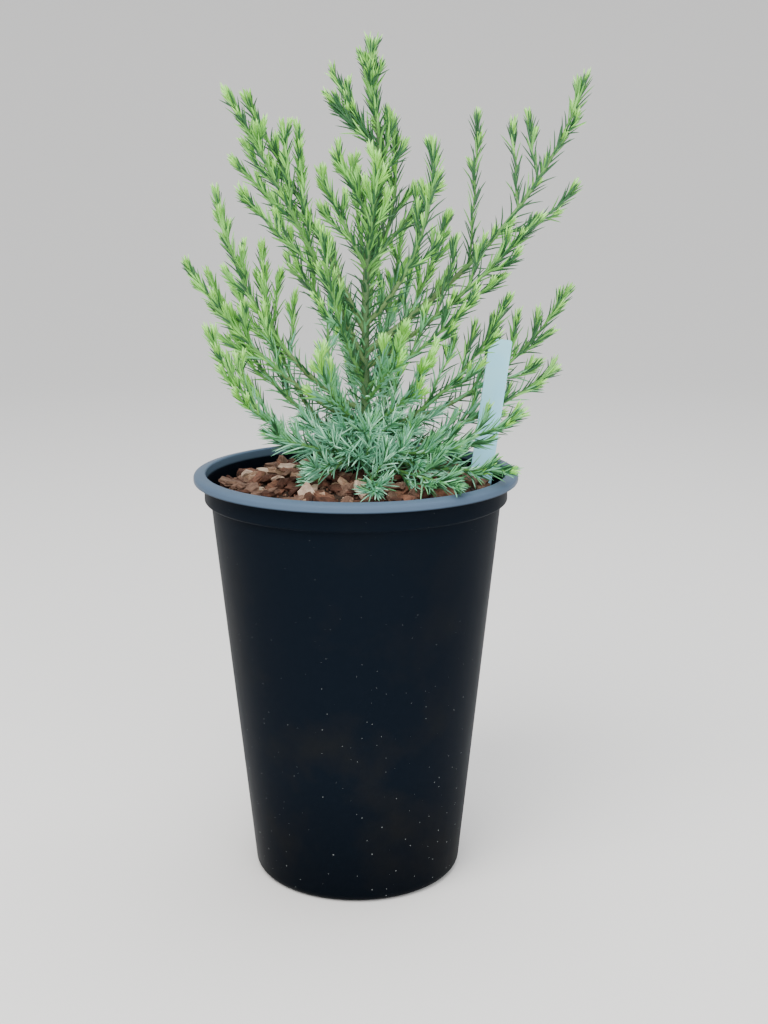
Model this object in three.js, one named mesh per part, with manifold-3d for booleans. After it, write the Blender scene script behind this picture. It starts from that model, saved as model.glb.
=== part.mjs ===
// A young giant sequoia growing in a tall nursery pot, in millimetres, +Z up.
// The origin is the centre of the pot's flat underside. +X is to the right and +Y away
// from the front. The plant grows by one rule: a trunk, boughs set round it, and on each
// bough a mass of shoots that branch from one stem and carry sharp, flattened needles.
import * as THREE from "three";
import { mergeVertices } from "three/addons/utils/BufferGeometryUtils.js";
import Module from "manifold-3d";

const wasm = await Module();
wasm.setup();

// The pot: a thin wall with a straight taper, a collar under the rim and a rolled rim.
const POT = {
  height: 220,
  baseRadius: 56,
  edgeRadius: 5,
  wall: 1.4,
  floor: 1.8,
  wallTopRadius: 75.9,
  collarRadius: 79.4,
  collarFoot: 204.6,
  collarTop: 215.3,
  rimRadius: 85,
  rimUnderside: 215.3,
  mouthRadius: 78.5,
  holes: 6,
  holeRadius: 4.5,
  holeCircle: 40,
  segments: 36,
};

// The growing medium: a low mound of compost under loose chips of bark.
const COMPOST = {
  crown: 216.7,
  crownRadius: 14,
  edge: 208,
  slope: 1.3,
  rings: [62, 44, 28, 14],
  brow: 30,
  wallGap: 0.4,
  segments: 24,
  chips: 18,
  chipLength: [10, 17],
  chipRise: 3,
  chipSpread: [17, 68],
};

// The blank plant label, pushed into the compost beside the rim.
const LABEL = {
  x: 66.5,
  y: 14,
  z: 210,
  width: 12,
  thickness: 0.8,
  above: 77,
  below: 25,
  point: 14,
  lean: 0.13,
  corner: 1.2,
};

// The trunk: a flat foot on the compost, a flared root collar and a slight bow.
const TRUNK = {
  x: 5,
  foot: 217,
  top: 398,
  footRadius: 4,
  flareHeight: 9,
  lowRadius: 2.5,
  topRadius: 1.15,
  bow: 7.5,
  bowHeight: 163,
  bowSpan: 37.5,
  sway: 1.5,
  swayHeight: 73.5,
  sides: 8,
  rings: [0, 0.017, 0.04, 0.08, 0.15, 0.25, 0.36, 0.47, 0.58, 0.68, 0.78, 0.88, 1],
};

// Every piece that is seated on another keeps this gap to it.
const SEAT_GAP = 0.3;

// The growth rule that every bough and mass follows.
const RULE = {
  step: 5,
  spread: 28,
  spreadJitter: 6,
  turn: 165,
  turnJitter: 14,
  lift: 0.42,
  clear: 4,
  fixtureClear: 2.2,
  limbMargin: 0.03,
  firstShoot: 0.3,
  lastShoot: 0.93,
  highestShoot: 0.95,
  placeJitter: 0.25,
  lengthJitter: [0.75, 1.1],
  shortest: 9,
  tipRadius: 0.5,
  shootRadius: 0.66,
  boughRadius: 0.75,
  boughGrowth: 0.006,
  boughSides: 5,
  boughRing: 12,
};

// Needles stand out of a slim three-sided core, three to a band of the core.
const NEEDLE = {
  band: 11.4,
  length: [7.8, 9.8],
  lean: [34, 58],
  tipLean: 20,
  tipBands: 1.5,
  seat: 0.22,
  own: 0.9,
  kin: 1.9,
  probes: [0.4, 0.7, 1],
  shrink: [1, 0.72, 0.5],
  stub: 0.2,
  sunk: 3.5,
};

// Each bough: how far up the trunk it leaves, its compass angle (0 = right, 90 = back),
// its angle of rise at the trunk and at the tip, and its whole length to the tip of the
// leading shoot. bare is the share of that length that is limb; a bough with none is a
// mass that grows straight from the trunk. shoots, reach, first, roll, spread, lift and turn
// set its side shoots, swap is the number of the one from which they change sides, and ease
// how early its stem bends.
const BOUGHS = [
  { name: "left_crest", up: 163, angle: 178, rise: [58, 62], length: 36, bare: 0, shoots: 2, reach: 44,
    first: 0.16, roll: 180, turn: 20, spread: 14, lift: 0.2 },
  { name: "left_top", up: 129, angle: 165, rise: [64, 58], length: 40, bare: 0, shoots: 3, reach: 30,
    first: 0.35 },
  { name: "left_upper", up: 106, angle: 202, rise: [62, 64], length: 55, bare: 0, shoots: 4, reach: 36,
    roll: 150 },
  { name: "left_ridge", up: 74, angle: 186, rise: [65, 61], length: 131, bare: 0.4, shoots: 6, reach: 56,
    roll: 180, spread: 24 },
  { name: "left_high", up: 58, angle: 198, rise: [65, 60], length: 152, bare: 0.3, shoots: 8, reach: 120,
    roll: 180, spread: 24, lift: 0.2 },
  { name: "left_mid", up: 48, angle: 222, rise: [56, 84], length: 84, bare: 0, shoots: 5, reach: 40,
    first: 0.4, roll: 180 },
  { name: "left_wide", up: 34, angle: 177, rise: [14, 81], length: 141, bare: 0.36, shoots: 7, reach: 72,
    roll: 180, ease: 0.6 },
  { name: "left_far", up: 26, angle: 184, rise: [21, 58], length: 124, bare: 0.4, shoots: 7, reach: 62,
    ease: 0.7 },
  { name: "left_near", up: 19, angle: 209, rise: [16, 104], length: 86, bare: 0, shoots: 4, reach: 34,
    first: 0.5, roll: 180, ease: 0.45 },
  { name: "left_inner", up: 10, angle: 165, rise: [8, 90], length: 128, bare: 0.38, shoots: 6, reach: 104,
    first: 0.48, ease: 0.5 },
  { name: "left_low", up: 6, angle: 200, rise: [-4, 68], length: 116, bare: 0.36, shoots: 7, reach: 72,
    ease: 0.6, roll: 50, turn: 180 },
  { name: "left_edge", up: 16, angle: 178, rise: [10, 70], length: 122, bare: 0.36, shoots: 7, reach: 60,
    ease: 0.6 },
  { name: "right_top", up: 136, angle: 20, rise: [74, 84], length: 46, bare: 0, shoots: 4, reach: 38,
    first: 0.4 },
  { name: "right_rear", up: 100, angle: 30, rise: [56, 100], length: 80, bare: 0, shoots: 4, reach: 38,
    first: 0.4 },
  { name: "right_crest", up: 107, angle: 12, rise: [47, 54], length: 50, bare: 0, shoots: 4, reach: 50 },
  { name: "right_curved", up: 78, angle: 334, rise: [43, 95], length: 101, bare: 0.34, shoots: 5, reach: 44,
    roll: 180, ease: 1.1 },
  { name: "right_high", up: 64, angle: 6, rise: [37, 74], length: 180, bare: 0.36, shoots: 6, reach: 134,
    ease: 1.7, spread: 44, lift: 0.6, swap: 3 },
  { name: "right_wide", up: 56, angle: 350, rise: [34, 48], length: 116, bare: 0.36, shoots: 7, reach: 80 },
  { name: "right_mid", up: 46, angle: 340, rise: [32, 46], length: 74, bare: 0, shoots: 5, reach: 50,
    first: 0.4 },
  { name: "right_back", up: 24, angle: 22, rise: [2, 56], length: 142, bare: 0.42, shoots: 7, reach: 90,
    ease: 0.95 },
  { name: "right_inner", up: 19, angle: 352, rise: [18, 66], length: 104, bare: 0.3, shoots: 6, reach: 64,
    ease: 0.8 },
  { name: "right_far", up: 9, angle: 18, rise: [10, 32], length: 116, bare: 0.42, shoots: 5, reach: 44 },
  { name: "right_low", up: 15, angle: 343, rise: [-6, 34], length: 86, bare: 0.36, shoots: 5, reach: 54 },
  { name: "right_ground", up: 10, angle: 327, rise: [-6, 8], length: 86, bare: 0, shoots: 6, reach: 50 },
  { name: "front_right", up: 25, angle: 316, rise: [24, 62], length: 64, bare: 0, shoots: 5, reach: 54 },
  { name: "front_mid", up: 39, angle: 294, rise: [26, 58], length: 64, bare: 0, shoots: 4, reach: 48 },
  { name: "front_left", up: 27, angle: 236, rise: [16, 70], length: 60, bare: 0, shoots: 5, reach: 50 },
  { name: "front_top", up: 112, angle: 292, rise: [70, 80], length: 52, bare: 0, shoots: 4, reach: 38 },
  { name: "back_right", up: 44, angle: 48, rise: [40, 66], length: 112, bare: 0, shoots: 6, reach: 72,
    first: 0.36 },
  { name: "back_inner", up: 36, angle: 66, rise: [50, 72], length: 104, bare: 0, shoots: 6, reach: 60 },
  { name: "back_mid", up: 69, angle: 80, rise: [48, 72], length: 100, bare: 0, shoots: 6, reach: 58 },
  { name: "back_left", up: 55, angle: 134, rise: [36, 66], length: 114, bare: 0, shoots: 6, reach: 72,
    first: 0.4 },
  { name: "back_side", up: 40, angle: 112, rise: [44, 74], length: 92, bare: 0, shoots: 5, reach: 54 },
  { name: "back_low", up: 23, angle: 100, rise: [16, 64], length: 92, bare: 0, shoots: 6, reach: 64 },
  { name: "back_aside", up: 15, angle: 74, rise: [16, 60], length: 88, bare: 0, shoots: 6, reach: 64 },
  { name: "back_top", up: 104, angle: 102, rise: [50, 70], length: 66, bare: 0, shoots: 4, reach: 48 },
  { name: "base_left", up: 11, angle: 232, rise: [-6, 2], length: 44, bare: 0, shoots: 5, reach: 40,
    first: 0.25 },
  { name: "base_front", up: 5, angle: 275, rise: [-2, -3], length: 56, bare: 0, shoots: 6, reach: 56,
    first: 0.25, spread: 46 },
  { name: "base_near", up: 7, angle: 305, rise: [-1, 1], length: 76, bare: 0, shoots: 6, reach: 50,
    first: 0.25 },
  { name: "base_right", up: 13, angle: 313, rise: [2, 14], length: 66, bare: 0, shoots: 5, reach: 42,
    first: 0.25 },
  { name: "base_side", up: 13, angle: 214, rise: [2, 26], length: 60, bare: 0, shoots: 5, reach: 42,
    first: 0.25 },
];

// The leading shoot stands on the trunk's tip and carries on along its line.
const LEADER = {
  name: "leader",
  tip: 424,
  length: 26,
  bare: 0,
  shoots: 5,
  reach: 28,
  first: 0.05,
  roll: -100,
  turn: 205,
  spread: 18,
};

const SEEDS = { shoots: 7919, needles: 15485863, perBough: 104729, chips: 4099 };

const COLOURS = {
  pot: 0x1d2228,
  compost: 0x6b4a3a,
  label: 0xe6f0f4,
  trunk: 0x6d5a3c,
  bough: 0x587040,
  foliage: [0x5f9a5c, 0x6ba860, 0x4f8a58],
};

const RADIAN = Math.PI / 180;
const UP = new THREE.Vector3(0, 0, 1);
// A heading whose component along an axis is above this counts as lying along it.
const NEARLY_ALONG = 0.95;
// The turn in radians from each chip to the next.
const GOLDEN_TURN = 2.4;

const HALF_TURN = 180;

// A repeatable stream of numbers from 0 to 1 for one seed.
function makeDice(seed) {
  let state = seed >>> 0;
  const roll = () => {
    state = (state + 0x6d2b79f5) >>> 0;
    let t = state;
    t = Math.imul(t ^ (t >>> 15), t | 1);
    t ^= t + Math.imul(t ^ (t >>> 7), t | 61);
    return ((t ^ (t >>> 14)) >>> 0) / 4294967296;
  };
  return { roll, between: (low, high) => low + (high - low) * roll() };
}

// Closed solids from triangles, and back again.
function solidFrom(points, faces) {
  const mesh = new wasm.Mesh({
    numProp: 3,
    vertProperties: Float32Array.from(points.flatMap((p) => [p.x, p.y, p.z])),
    triVerts: Uint32Array.from(faces.flat()),
  });
  return new wasm.Manifold(mesh);
}

function solidFromGeometry(geometry) {
  const bare = geometry.clone();
  bare.deleteAttribute("normal");
  bare.deleteAttribute("uv");
  const welded = mergeVertices(bare, 1e-4);
  const mesh = new wasm.Mesh({
    numProp: 3,
    vertProperties: Float32Array.from(welded.attributes.position.array),
    triVerts: Uint32Array.from(welded.index.array),
  });
  return new wasm.Manifold(mesh);
}

function geometryFrom(solid) {
  const mesh = solid.getMesh();
  const geometry = new THREE.BufferGeometry();
  geometry.setAttribute("position", new THREE.BufferAttribute(Float32Array.from(mesh.vertProperties), 3));
  geometry.setIndex(new THREE.BufferAttribute(Uint32Array.from(mesh.triVerts), 1));
  geometry.computeVertexNormals();
  return geometry;
}

// Where the trunk's centre line is at a height.
function trunkCentre(z) {
  const rise = z - TRUNK.foot;
  const bow = TRUNK.bow * Math.exp(-(((rise - TRUNK.bowHeight) / TRUNK.bowSpan) ** 2));
  return new THREE.Vector3(TRUNK.x + bow, TRUNK.sway * Math.sin(rise / TRUNK.swayHeight), z);
}

function trunkRadius(z) {
  const rise = z - TRUNK.foot;
  const share = rise / (TRUNK.top - TRUNK.foot);
  const flare = (TRUNK.footRadius - TRUNK.lowRadius) * Math.exp(-rise / TRUNK.flareHeight);
  return TRUNK.lowRadius + (TRUNK.topRadius - TRUNK.lowRadius) * share + flare;
}

// The path of a bough from the trunk's centre line to the tip of its leading shoot.
function boughPath(bough) {
  const count = Math.max(6, Math.round(bough.length / RULE.step));
  const point = trunkCentre(TRUNK.foot + bough.up);
  const path = [point.clone()];
  for (let i = 0; i < count; i += 1) {
    const share = (i + 0.5) / count;
    const bend = share ** (bough.ease ?? 1);
    const rise = (bough.rise[0] + (bough.rise[1] - bough.rise[0]) * bend) * RADIAN;
    const angle = bough.angle * RADIAN;
    const heading = new THREE.Vector3(
      Math.cos(rise) * Math.cos(angle),
      Math.cos(rise) * Math.sin(angle),
      Math.sin(rise),
    );
    point.addScaledVector(heading, bough.length / count);
    path.push(point.clone());
  }
  return path;
}

function leaderPath() {
  const count = Math.round(LEADER.length / RULE.step);
  const heights = Array.from({ length: count + 1 }, (_, i) => i / count);
  return heights.map((share) => trunkCentre(TRUNK.top + (LEADER.tip - TRUNK.top) * share));
}

// The place and the heading at a share of a path's length.
function along(path, share) {
  const x = share * (path.length - 1);
  const i = Math.min(Math.floor(x), path.length - 2);
  const heading = path[i + 1].clone().sub(path[i]).normalize();
  return { place: path[i].clone().lerp(path[i + 1], x - i), heading };
}

function stretch(path, from, to, ringGap) {
  const length = RULE.step * (path.length - 1) * (to - from);
  const count = Math.max(1, Math.round(length / ringGap));
  return Array.from({ length: count + 1 }, (_, i) => along(path, from + ((to - from) * i) / count).place);
}

// One side shoot: it leaves the stem at an angle and bends upwards as it grows.
function sideShoot(start, heading, roll, spread, lift, length, isFree) {
  const reference = Math.abs(heading.z) < NEARLY_ALONG ? UP : new THREE.Vector3(1, 0, 0);
  const side = heading.clone().cross(reference).normalize();
  const over = side.clone().cross(heading);
  const out = over.multiplyScalar(Math.cos(roll * RADIAN)).addScaledVector(side, Math.sin(roll * RADIAN));
  const first = heading.clone().multiplyScalar(Math.cos(spread * RADIAN));
  first.addScaledVector(out, Math.sin(spread * RADIAN));
  const count = Math.max(2, Math.round(length / RULE.step));
  const point = start.clone();
  const path = [point.clone()];
  for (let i = 0; i < count; i += 1) {
    const bend = (lift * (i + 0.5)) / count;
    const step = first.clone().multiplyScalar(1 - bend).addScaledVector(UP, bend).normalize();
    point.addScaledVector(step, length / count);
    if (!isFree(point)) {
      break;
    }
    path.push(point.clone());
  }
  return path;
}

// True at a point that keeps clear of the trunk, the compost, the rim and the label.
function clearOfFixtures(point, margin) {
  const centre = trunkCentre(point.z);
  const fromTrunk = Math.hypot(point.x - centre.x, point.y - centre.y);
  if (point.z < TRUNK.top + margin && fromTrunk < trunkRadius(point.z) + margin) {
    return false;
  }
  const radius = Math.hypot(point.x, point.y);
  const insidePot = radius < POT.mouthRadius - margin;
  const chipTops = COMPOST.crown + (radius > COMPOST.brow ? 0 : COMPOST.chipRise);
  if (insidePot && point.z < chipTops + margin) {
    return false;
  }
  if (!insidePot && radius < POT.rimRadius + margin && point.z < POT.height + margin) {
    return false;
  }
  const labelX = LABEL.x + (point.z - LABEL.z) * LABEL.lean;
  const acrossLabel = Math.abs(point.x - labelX) < LABEL.width / 2 + margin;
  const throughLabel = Math.abs(point.y - LABEL.y) < LABEL.thickness / 2 + margin;
  return !(acrossLabel && throughLabel && point.z < LABEL.z + LABEL.above + margin);
}

function withMiddles(path) {
  return path.flatMap((p, i) => (i ? [path[i - 1].clone().lerp(p, 0.5), p] : [p]));
}

function nearest(point, points) {
  let best = Infinity;
  for (const p of points) {
    best = Math.min(best, point.distanceToSquared(p));
  }
  return Math.sqrt(best);
}

// The whole skeleton: each bough's path first, then its side shoots where there is room.
function growSkeleton() {
  const rows = [...BOUGHS, LEADER];
  const stems = rows.map((row) => (row === LEADER ? leaderPath() : boughPath(row)));
  const claims = stems.map(withMiddles);
  const shoots = rows.map((row, index) => {
    const dice = makeDice(SEEDS.shoots + index * SEEDS.perBough);
    const rivals = claims.flatMap((points, owner) => (owner === index ? [] : points));
    const isFree = (p) => clearOfFixtures(p, RULE.fixtureClear) && nearest(p, rivals) > RULE.clear;
    const first = row.first ?? Math.max(row.bare + RULE.limbMargin, RULE.firstShoot);
    const pitch = (RULE.lastShoot - first) / (row.shoots - 1);
    const grown = [];
    for (let k = 0; k < row.shoots; k += 1) {
      const jitter = k > 0 ? dice.between(-RULE.placeJitter, RULE.placeJitter) : 0;
      const share = Math.min(first + pitch * (k + jitter), RULE.highestShoot);
      const { place, heading } = along(stems[index], share);
      const turn = (row.turn ?? RULE.turn) * k + dice.between(-RULE.turnJitter, RULE.turnJitter);
      const isSwapped = k >= (row.swap ?? row.shoots);
      const roll = (row.roll ?? 0) + turn + (isSwapped ? HALF_TURN : 0);
      const spread = (row.spread ?? RULE.spread) + dice.between(-RULE.spreadJitter, RULE.spreadJitter);
      const room = row.reach * (RULE.highestShoot - share);
      const length = Math.max(room * dice.between(...RULE.lengthJitter), RULE.shortest);
      const lift = row.lift ?? RULE.lift;
      const shoot = sideShoot(place, heading, roll, spread, lift, length, isFree);
      if (shoot.length > 2) {
        grown.push(shoot);
        claims[index].push(...withMiddles(shoot));
      }
    }
    return grown;
  });
  return { rows, stems, shoots, claims };
}

// A round tapered body along a path, closed at both ends.
function taperedLimb(path, radii, sides) {
  const points = [];
  const faces = [];
  let across = new THREE.Vector3(1, 0, 0);
  path.forEach((centre, i) => {
    const before = path[Math.max(i - 1, 0)];
    const after = path[Math.min(i + 1, path.length - 1)];
    const heading = after.clone().sub(before).normalize();
    if (i === 0 && Math.abs(heading.x) > NEARLY_ALONG) {
      across = UP.clone();
    }
    across = across.clone().addScaledVector(heading, -across.dot(heading)).normalize();
    const around = heading.clone().cross(across);
    for (let k = 0; k < sides; k += 1) {
      const turn = (2 * Math.PI * k) / sides;
      const rim = centre.clone().addScaledVector(across, radii[i] * Math.cos(turn));
      points.push(rim.addScaledVector(around, radii[i] * Math.sin(turn)));
    }
  });
  for (let i = 0; i < path.length - 1; i += 1) {
    for (let k = 0; k < sides; k += 1) {
      const a = i * sides + k;
      const b = i * sides + ((k + 1) % sides);
      faces.push([a, b, b + sides], [a, b + sides, a + sides]);
    }
  }
  const last = (path.length - 1) * sides;
  for (let k = 1; k < sides - 1; k += 1) {
    faces.push([0, k + 1, k], [last, last + k, last + k + 1]);
  }
  return solidFrom(points, faces);
}

// A shoot: a three-sided core whose outer facets are drawn out into needles.
function needledShoot(path, radii, dice, allows) {
  const points = [];
  const faces = [];
  const ring = [];
  const frames = [];
  let across = new THREE.Vector3(1, 0, 0);
  let phase = dice.between(0, 120);
  path.forEach((centre, i) => {
    const before = path[Math.max(i - 1, 0)];
    const after = path[Math.min(i + 1, path.length - 1)];
    const heading = after.clone().sub(before).normalize();
    if (i === 0 && Math.abs(heading.x) > NEARLY_ALONG) {
      across = UP.clone();
    }
    across = across.clone().addScaledVector(heading, -across.dot(heading)).normalize();
    const around = heading.clone().cross(across);
    ring.push(points.length);
    frames.push({ centre, heading, across: across.clone(), around, phase });
    for (let j = 0; j < 3; j += 1) {
      const turn = (phase + 120 * j) * RADIAN;
      const corner = centre.clone().addScaledVector(across, radii[i] * Math.cos(turn));
      points.push(corner.addScaledVector(around, radii[i] * Math.sin(turn)));
    }
    phase += 60;
  });
  const bands = path.length - 1;
  for (let i = 0; i < bands; i += 1) {
    const frame = frames[i];
    const toTip = bands - i;
    for (let j = 0; j < 3; j += 1) {
      const a = ring[i] + j;
      const b = ring[i] + ((j + 1) % 3);
      const c = ring[i + 1] + j;
      faces.push([c, b, ring[i + 1] + ((j + 1) % 3)]);
      const turn = (frame.phase + 60 + 120 * j) * RADIAN;
      const out = frame.across.clone().multiplyScalar(Math.cos(turn));
      out.addScaledVector(frame.around, Math.sin(turn));
      const open = dice.between(...NEEDLE.lean);
      const lean = (toTip <= NEEDLE.tipBands ? NEEDLE.tipLean : open) * RADIAN;
      const length = dice.between(...NEEDLE.length);
      const seat = frame.centre.clone().lerp(path[i + 1], NEEDLE.seat).addScaledVector(out, radii[i] / 2);
      const aim = frame.heading.clone().multiplyScalar(Math.cos(lean)).addScaledVector(out, Math.sin(lean));
      const fit = NEEDLE.shrink.find((part) => allows(seat, aim, length * part));
      if (fit === undefined) {
        faces.push([a, b, c]);
      } else {
        const apex = points.length;
        points.push(seat.clone().addScaledVector(aim, length * fit));
        faces.push([a, b, apex], [b, c, apex], [c, a, apex]);
      }
    }
  }
  const tip = points.length;
  const end = frames[bands];
  const roomAhead = NEEDLE.shrink.find((part) => allows(end.centre, end.heading, NEEDLE.length[0] * part));
  const tipLength = NEEDLE.length[0] * (roomAhead ?? NEEDLE.stub);
  points.push(end.centre.clone().addScaledVector(end.heading, tipLength));
  faces.push([ring[0], ring[0] + 2, ring[0] + 1]);
  for (let j = 0; j < 3; j += 1) {
    faces.push([ring[bands] + j, ring[bands] + ((j + 1) % 3), tip]);
  }
  return solidFrom(points, faces);
}

function limbRadius(row, share) {
  const foot = RULE.boughRadius + RULE.boughGrowth * row.length;
  return foot + (RULE.tipRadius - foot) * share;
}

// The trunk, or with a gap the space that its neighbours leave for it.
function makeTrunk(gap) {
  const path = TRUNK.rings.map((share) => trunkCentre(TRUNK.foot + (TRUNK.top - TRUNK.foot) * share));
  const radii = path.map((p) => trunkRadius(p.z) + gap);
  return taperedLimb(path, radii, TRUNK.sides);
}

function makeBough(row, stem, trunkSpace) {
  const gap = SEAT_GAP / row.length;
  const path = stretch(stem, 0, row.bare - gap, RULE.boughRing);
  const radii = path.map((_, i) => limbRadius(row, (row.bare * i) / (path.length - 1)));
  return taperedLimb(path, radii, RULE.boughSides).subtract(trunkSpace);
}

function makeMass(skeleton, index, trunkSpace) {
  const row = skeleton.rows[index];
  const stem = skeleton.stems[index];
  const dice = makeDice(SEEDS.needles + index * SEEDS.perBough);
  const own = skeleton.claims[index];
  const rivals = skeleton.claims.flatMap((points, owner) => (owner === index ? [] : points));
  const paths = [stem, ...skeleton.shoots[index]];
  const allowedOn = (path) => {
    const kin = paths.filter((other) => other !== path).flatMap(withMiddles);
    return (seat, aim, length) =>
      NEEDLE.probes.every((part) => {
        const p = seat.clone().addScaledVector(aim, length * part);
        const inOwnSpace = nearest(p, rivals) > nearest(p, own) + NEEDLE.own;
        return inOwnSpace && nearest(p, kin) > NEEDLE.kin && clearOfFixtures(p, NEEDLE.own);
      });
  };
  const start = row === LEADER ? SEAT_GAP / row.length : row.bare;
  const main = stretch(stem, start, 1, NEEDLE.band);
  const mainRadii = main.map((_, i) => limbRadius(row, row.bare + ((1 - row.bare) * i) / (main.length - 1)));
  let mass = needledShoot(main, mainRadii, dice, allowedOn(stem));
  for (const shoot of skeleton.shoots[index]) {
    const path = stretch(shoot, 0, 1, NEEDLE.band);
    const radii = path.map((_, i) => {
      const share = i / (path.length - 1);
      return RULE.shootRadius + (RULE.tipRadius - RULE.shootRadius) * share;
    });
    const hasRoom = allowedOn(shoot);
    const allows = (seat, aim, length) =>
      seat.distanceTo(path[0]) > NEEDLE.sunk && hasRoom(seat, aim, length);
    mass = mass.add(needledShoot(path, radii, dice, allows));
  }
  return row.bare > 0 || row === LEADER ? mass : mass.subtract(trunkSpace);
}

function makePot() {
  const p = POT;
  const bend = (steps, at) => Array.from({ length: steps + 1 }, (_, i) => at((i / steps) * 90 * RADIAN));
  const lowEdge = bend(3, (t) => [
    p.baseRadius - p.edgeRadius + p.edgeRadius * Math.sin(t),
    p.edgeRadius - p.edgeRadius * Math.cos(t),
  ]);
  const outline = [
    [0, 0],
    ...lowEdge,
    [p.wallTopRadius, p.collarFoot - 0.8],
    [p.collarRadius, p.collarFoot + 0.4],
    [p.collarRadius, p.collarTop],
    [p.rimRadius - 0.4, p.rimUnderside],
    [p.rimRadius, p.height - 1.2],
    [p.mouthRadius, p.height],
    [p.mouthRadius - 0.5, p.collarTop],
    [p.collarRadius - p.wall, p.collarFoot + p.wall],
    [p.wallTopRadius - p.wall, p.collarFoot - 1.5],
    [p.baseRadius - p.wall - 0.6, p.floor + 4],
    [p.baseRadius - p.wall - 4, p.floor],
    [0, p.floor],
  ];
  const profile = outline.map(([r, z]) => new THREE.Vector2(r, z));
  const shell = new THREE.LatheGeometry(profile, p.segments);
  shell.rotateX(Math.PI / 2);
  let solid = solidFromGeometry(shell);
  for (let k = 0; k < p.holes; k += 1) {
    const turn = (2 * Math.PI * (k + 0.5)) / p.holes;
    const drill = new THREE.CylinderGeometry(p.holeRadius, p.holeRadius, 4 * p.floor, 10);
    drill.rotateX(Math.PI / 2);
    drill.translate(p.holeCircle * Math.cos(turn), p.holeCircle * Math.sin(turn), 0);
    solid = solid.subtract(solidFromGeometry(drill));
  }
  return solid;
}

// The height of the compost's surface at a distance from the pot's axis.
function moundHeight(radius) {
  const share = Math.max(0, (radius - COMPOST.crownRadius) / (POT.mouthRadius - COMPOST.crownRadius));
  return COMPOST.crown - (COMPOST.crown - COMPOST.edge) * share ** COMPOST.slope;
}

function makeChip(dice) {
  const length = dice.between(...COMPOST.chipLength);
  const chip = new THREE.BoxGeometry(length, length * dice.between(0.5, 0.75), dice.between(2.2, 3.6));
  const position = chip.attributes.position;
  const pull = Array.from({ length: 8 }, () => [dice.between(0.62, 1), dice.between(0.6, 1)]);
  for (let i = 0; i < position.count; i += 1) {
    const corner =
      (position.getX(i) > 0 ? 1 : 0) + (position.getY(i) > 0 ? 2 : 0) + (position.getZ(i) > 0 ? 4 : 0);
    position.setX(i, position.getX(i) * pull[corner][0]);
    position.setY(i, position.getY(i) * pull[corner][1]);
  }
  chip.rotateX(dice.between(-16, 16) * RADIAN);
  chip.rotateY(dice.between(-16, 16) * RADIAN);
  chip.rotateZ(dice.between(0, 360) * RADIAN);
  return chip;
}

function makeCompost(labelSpace) {
  const gap = COMPOST.wallGap;
  const inner = (z) => {
    const low = POT.baseRadius - POT.wall - 0.6;
    const high = POT.wallTopRadius - POT.wall;
    return low + ((high - low) * (z - POT.floor - 4)) / (POT.collarFoot - 1.5 - POT.floor - 4) - gap;
  };
  const floor = POT.floor + SEAT_GAP;
  const outline = [
    [0, floor],
    [POT.baseRadius - POT.wall - 5, floor],
    [inner(POT.floor + 5), POT.floor + 5],
    [inner(POT.collarFoot - 3), POT.collarFoot - 3],
    [inner(POT.collarFoot - 3), COMPOST.edge],
    ...COMPOST.rings.map((radius) => [radius, moundHeight(radius)]),
    [0, COMPOST.crown],
  ];
  const profile = outline.map(([r, z]) => new THREE.Vector2(r, z));
  const body = new THREE.LatheGeometry(profile, COMPOST.segments);
  body.rotateX(Math.PI / 2);
  let solid = solidFromGeometry(body);
  const dice = makeDice(SEEDS.chips);
  for (let k = 0; k < COMPOST.chips; k += 1) {
    const spread = (k + 0.5) / COMPOST.chips;
    const [low, high] = COMPOST.chipSpread;
    const radius = Math.sqrt(low * low + (high * high - low * low) * spread);
    const turn = k * GOLDEN_TURN + dice.between(-0.3, 0.3);
    const chip = makeChip(dice);
    const lift = dice.between(0.1, 1);
    chip.translate(radius * Math.cos(turn), radius * Math.sin(turn), moundHeight(radius) + lift);
    solid = solid.add(solidFromGeometry(chip));
  }
  return solid.subtract(labelSpace);
}

function makeLabel(gap) {
  const half = LABEL.width / 2 + gap;
  const top = LABEL.above + gap;
  const foot = -LABEL.below - gap;
  const shape = new THREE.Shape();
  shape.moveTo(0, foot);
  shape.lineTo(half, foot + LABEL.point);
  shape.lineTo(half, top - LABEL.corner);
  shape.lineTo(half - LABEL.corner, top);
  shape.lineTo(-half + LABEL.corner, top);
  shape.lineTo(-half, top - LABEL.corner);
  shape.lineTo(-half, foot + LABEL.point);
  shape.closePath();
  const depth = LABEL.thickness + 2 * gap;
  const plate = new THREE.ExtrudeGeometry(shape, { depth, bevelEnabled: false });
  plate.translate(0, 0, -depth / 2);
  plate.rotateX(Math.PI / 2);
  plate.rotateY(Math.atan(LABEL.lean));
  plate.translate(LABEL.x, LABEL.y, LABEL.z);
  return solidFromGeometry(plate);
}

function makeMesh(name, solid, colour, roughness) {
  const material = new THREE.MeshStandardMaterial({ color: colour, roughness, metalness: 0 });
  const mesh = new THREE.Mesh(geometryFrom(solid), material);
  mesh.name = name;
  return mesh;
}

const group = new THREE.Group();
const skeleton = growSkeleton();
const trunkSpace = makeTrunk(SEAT_GAP);

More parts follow.
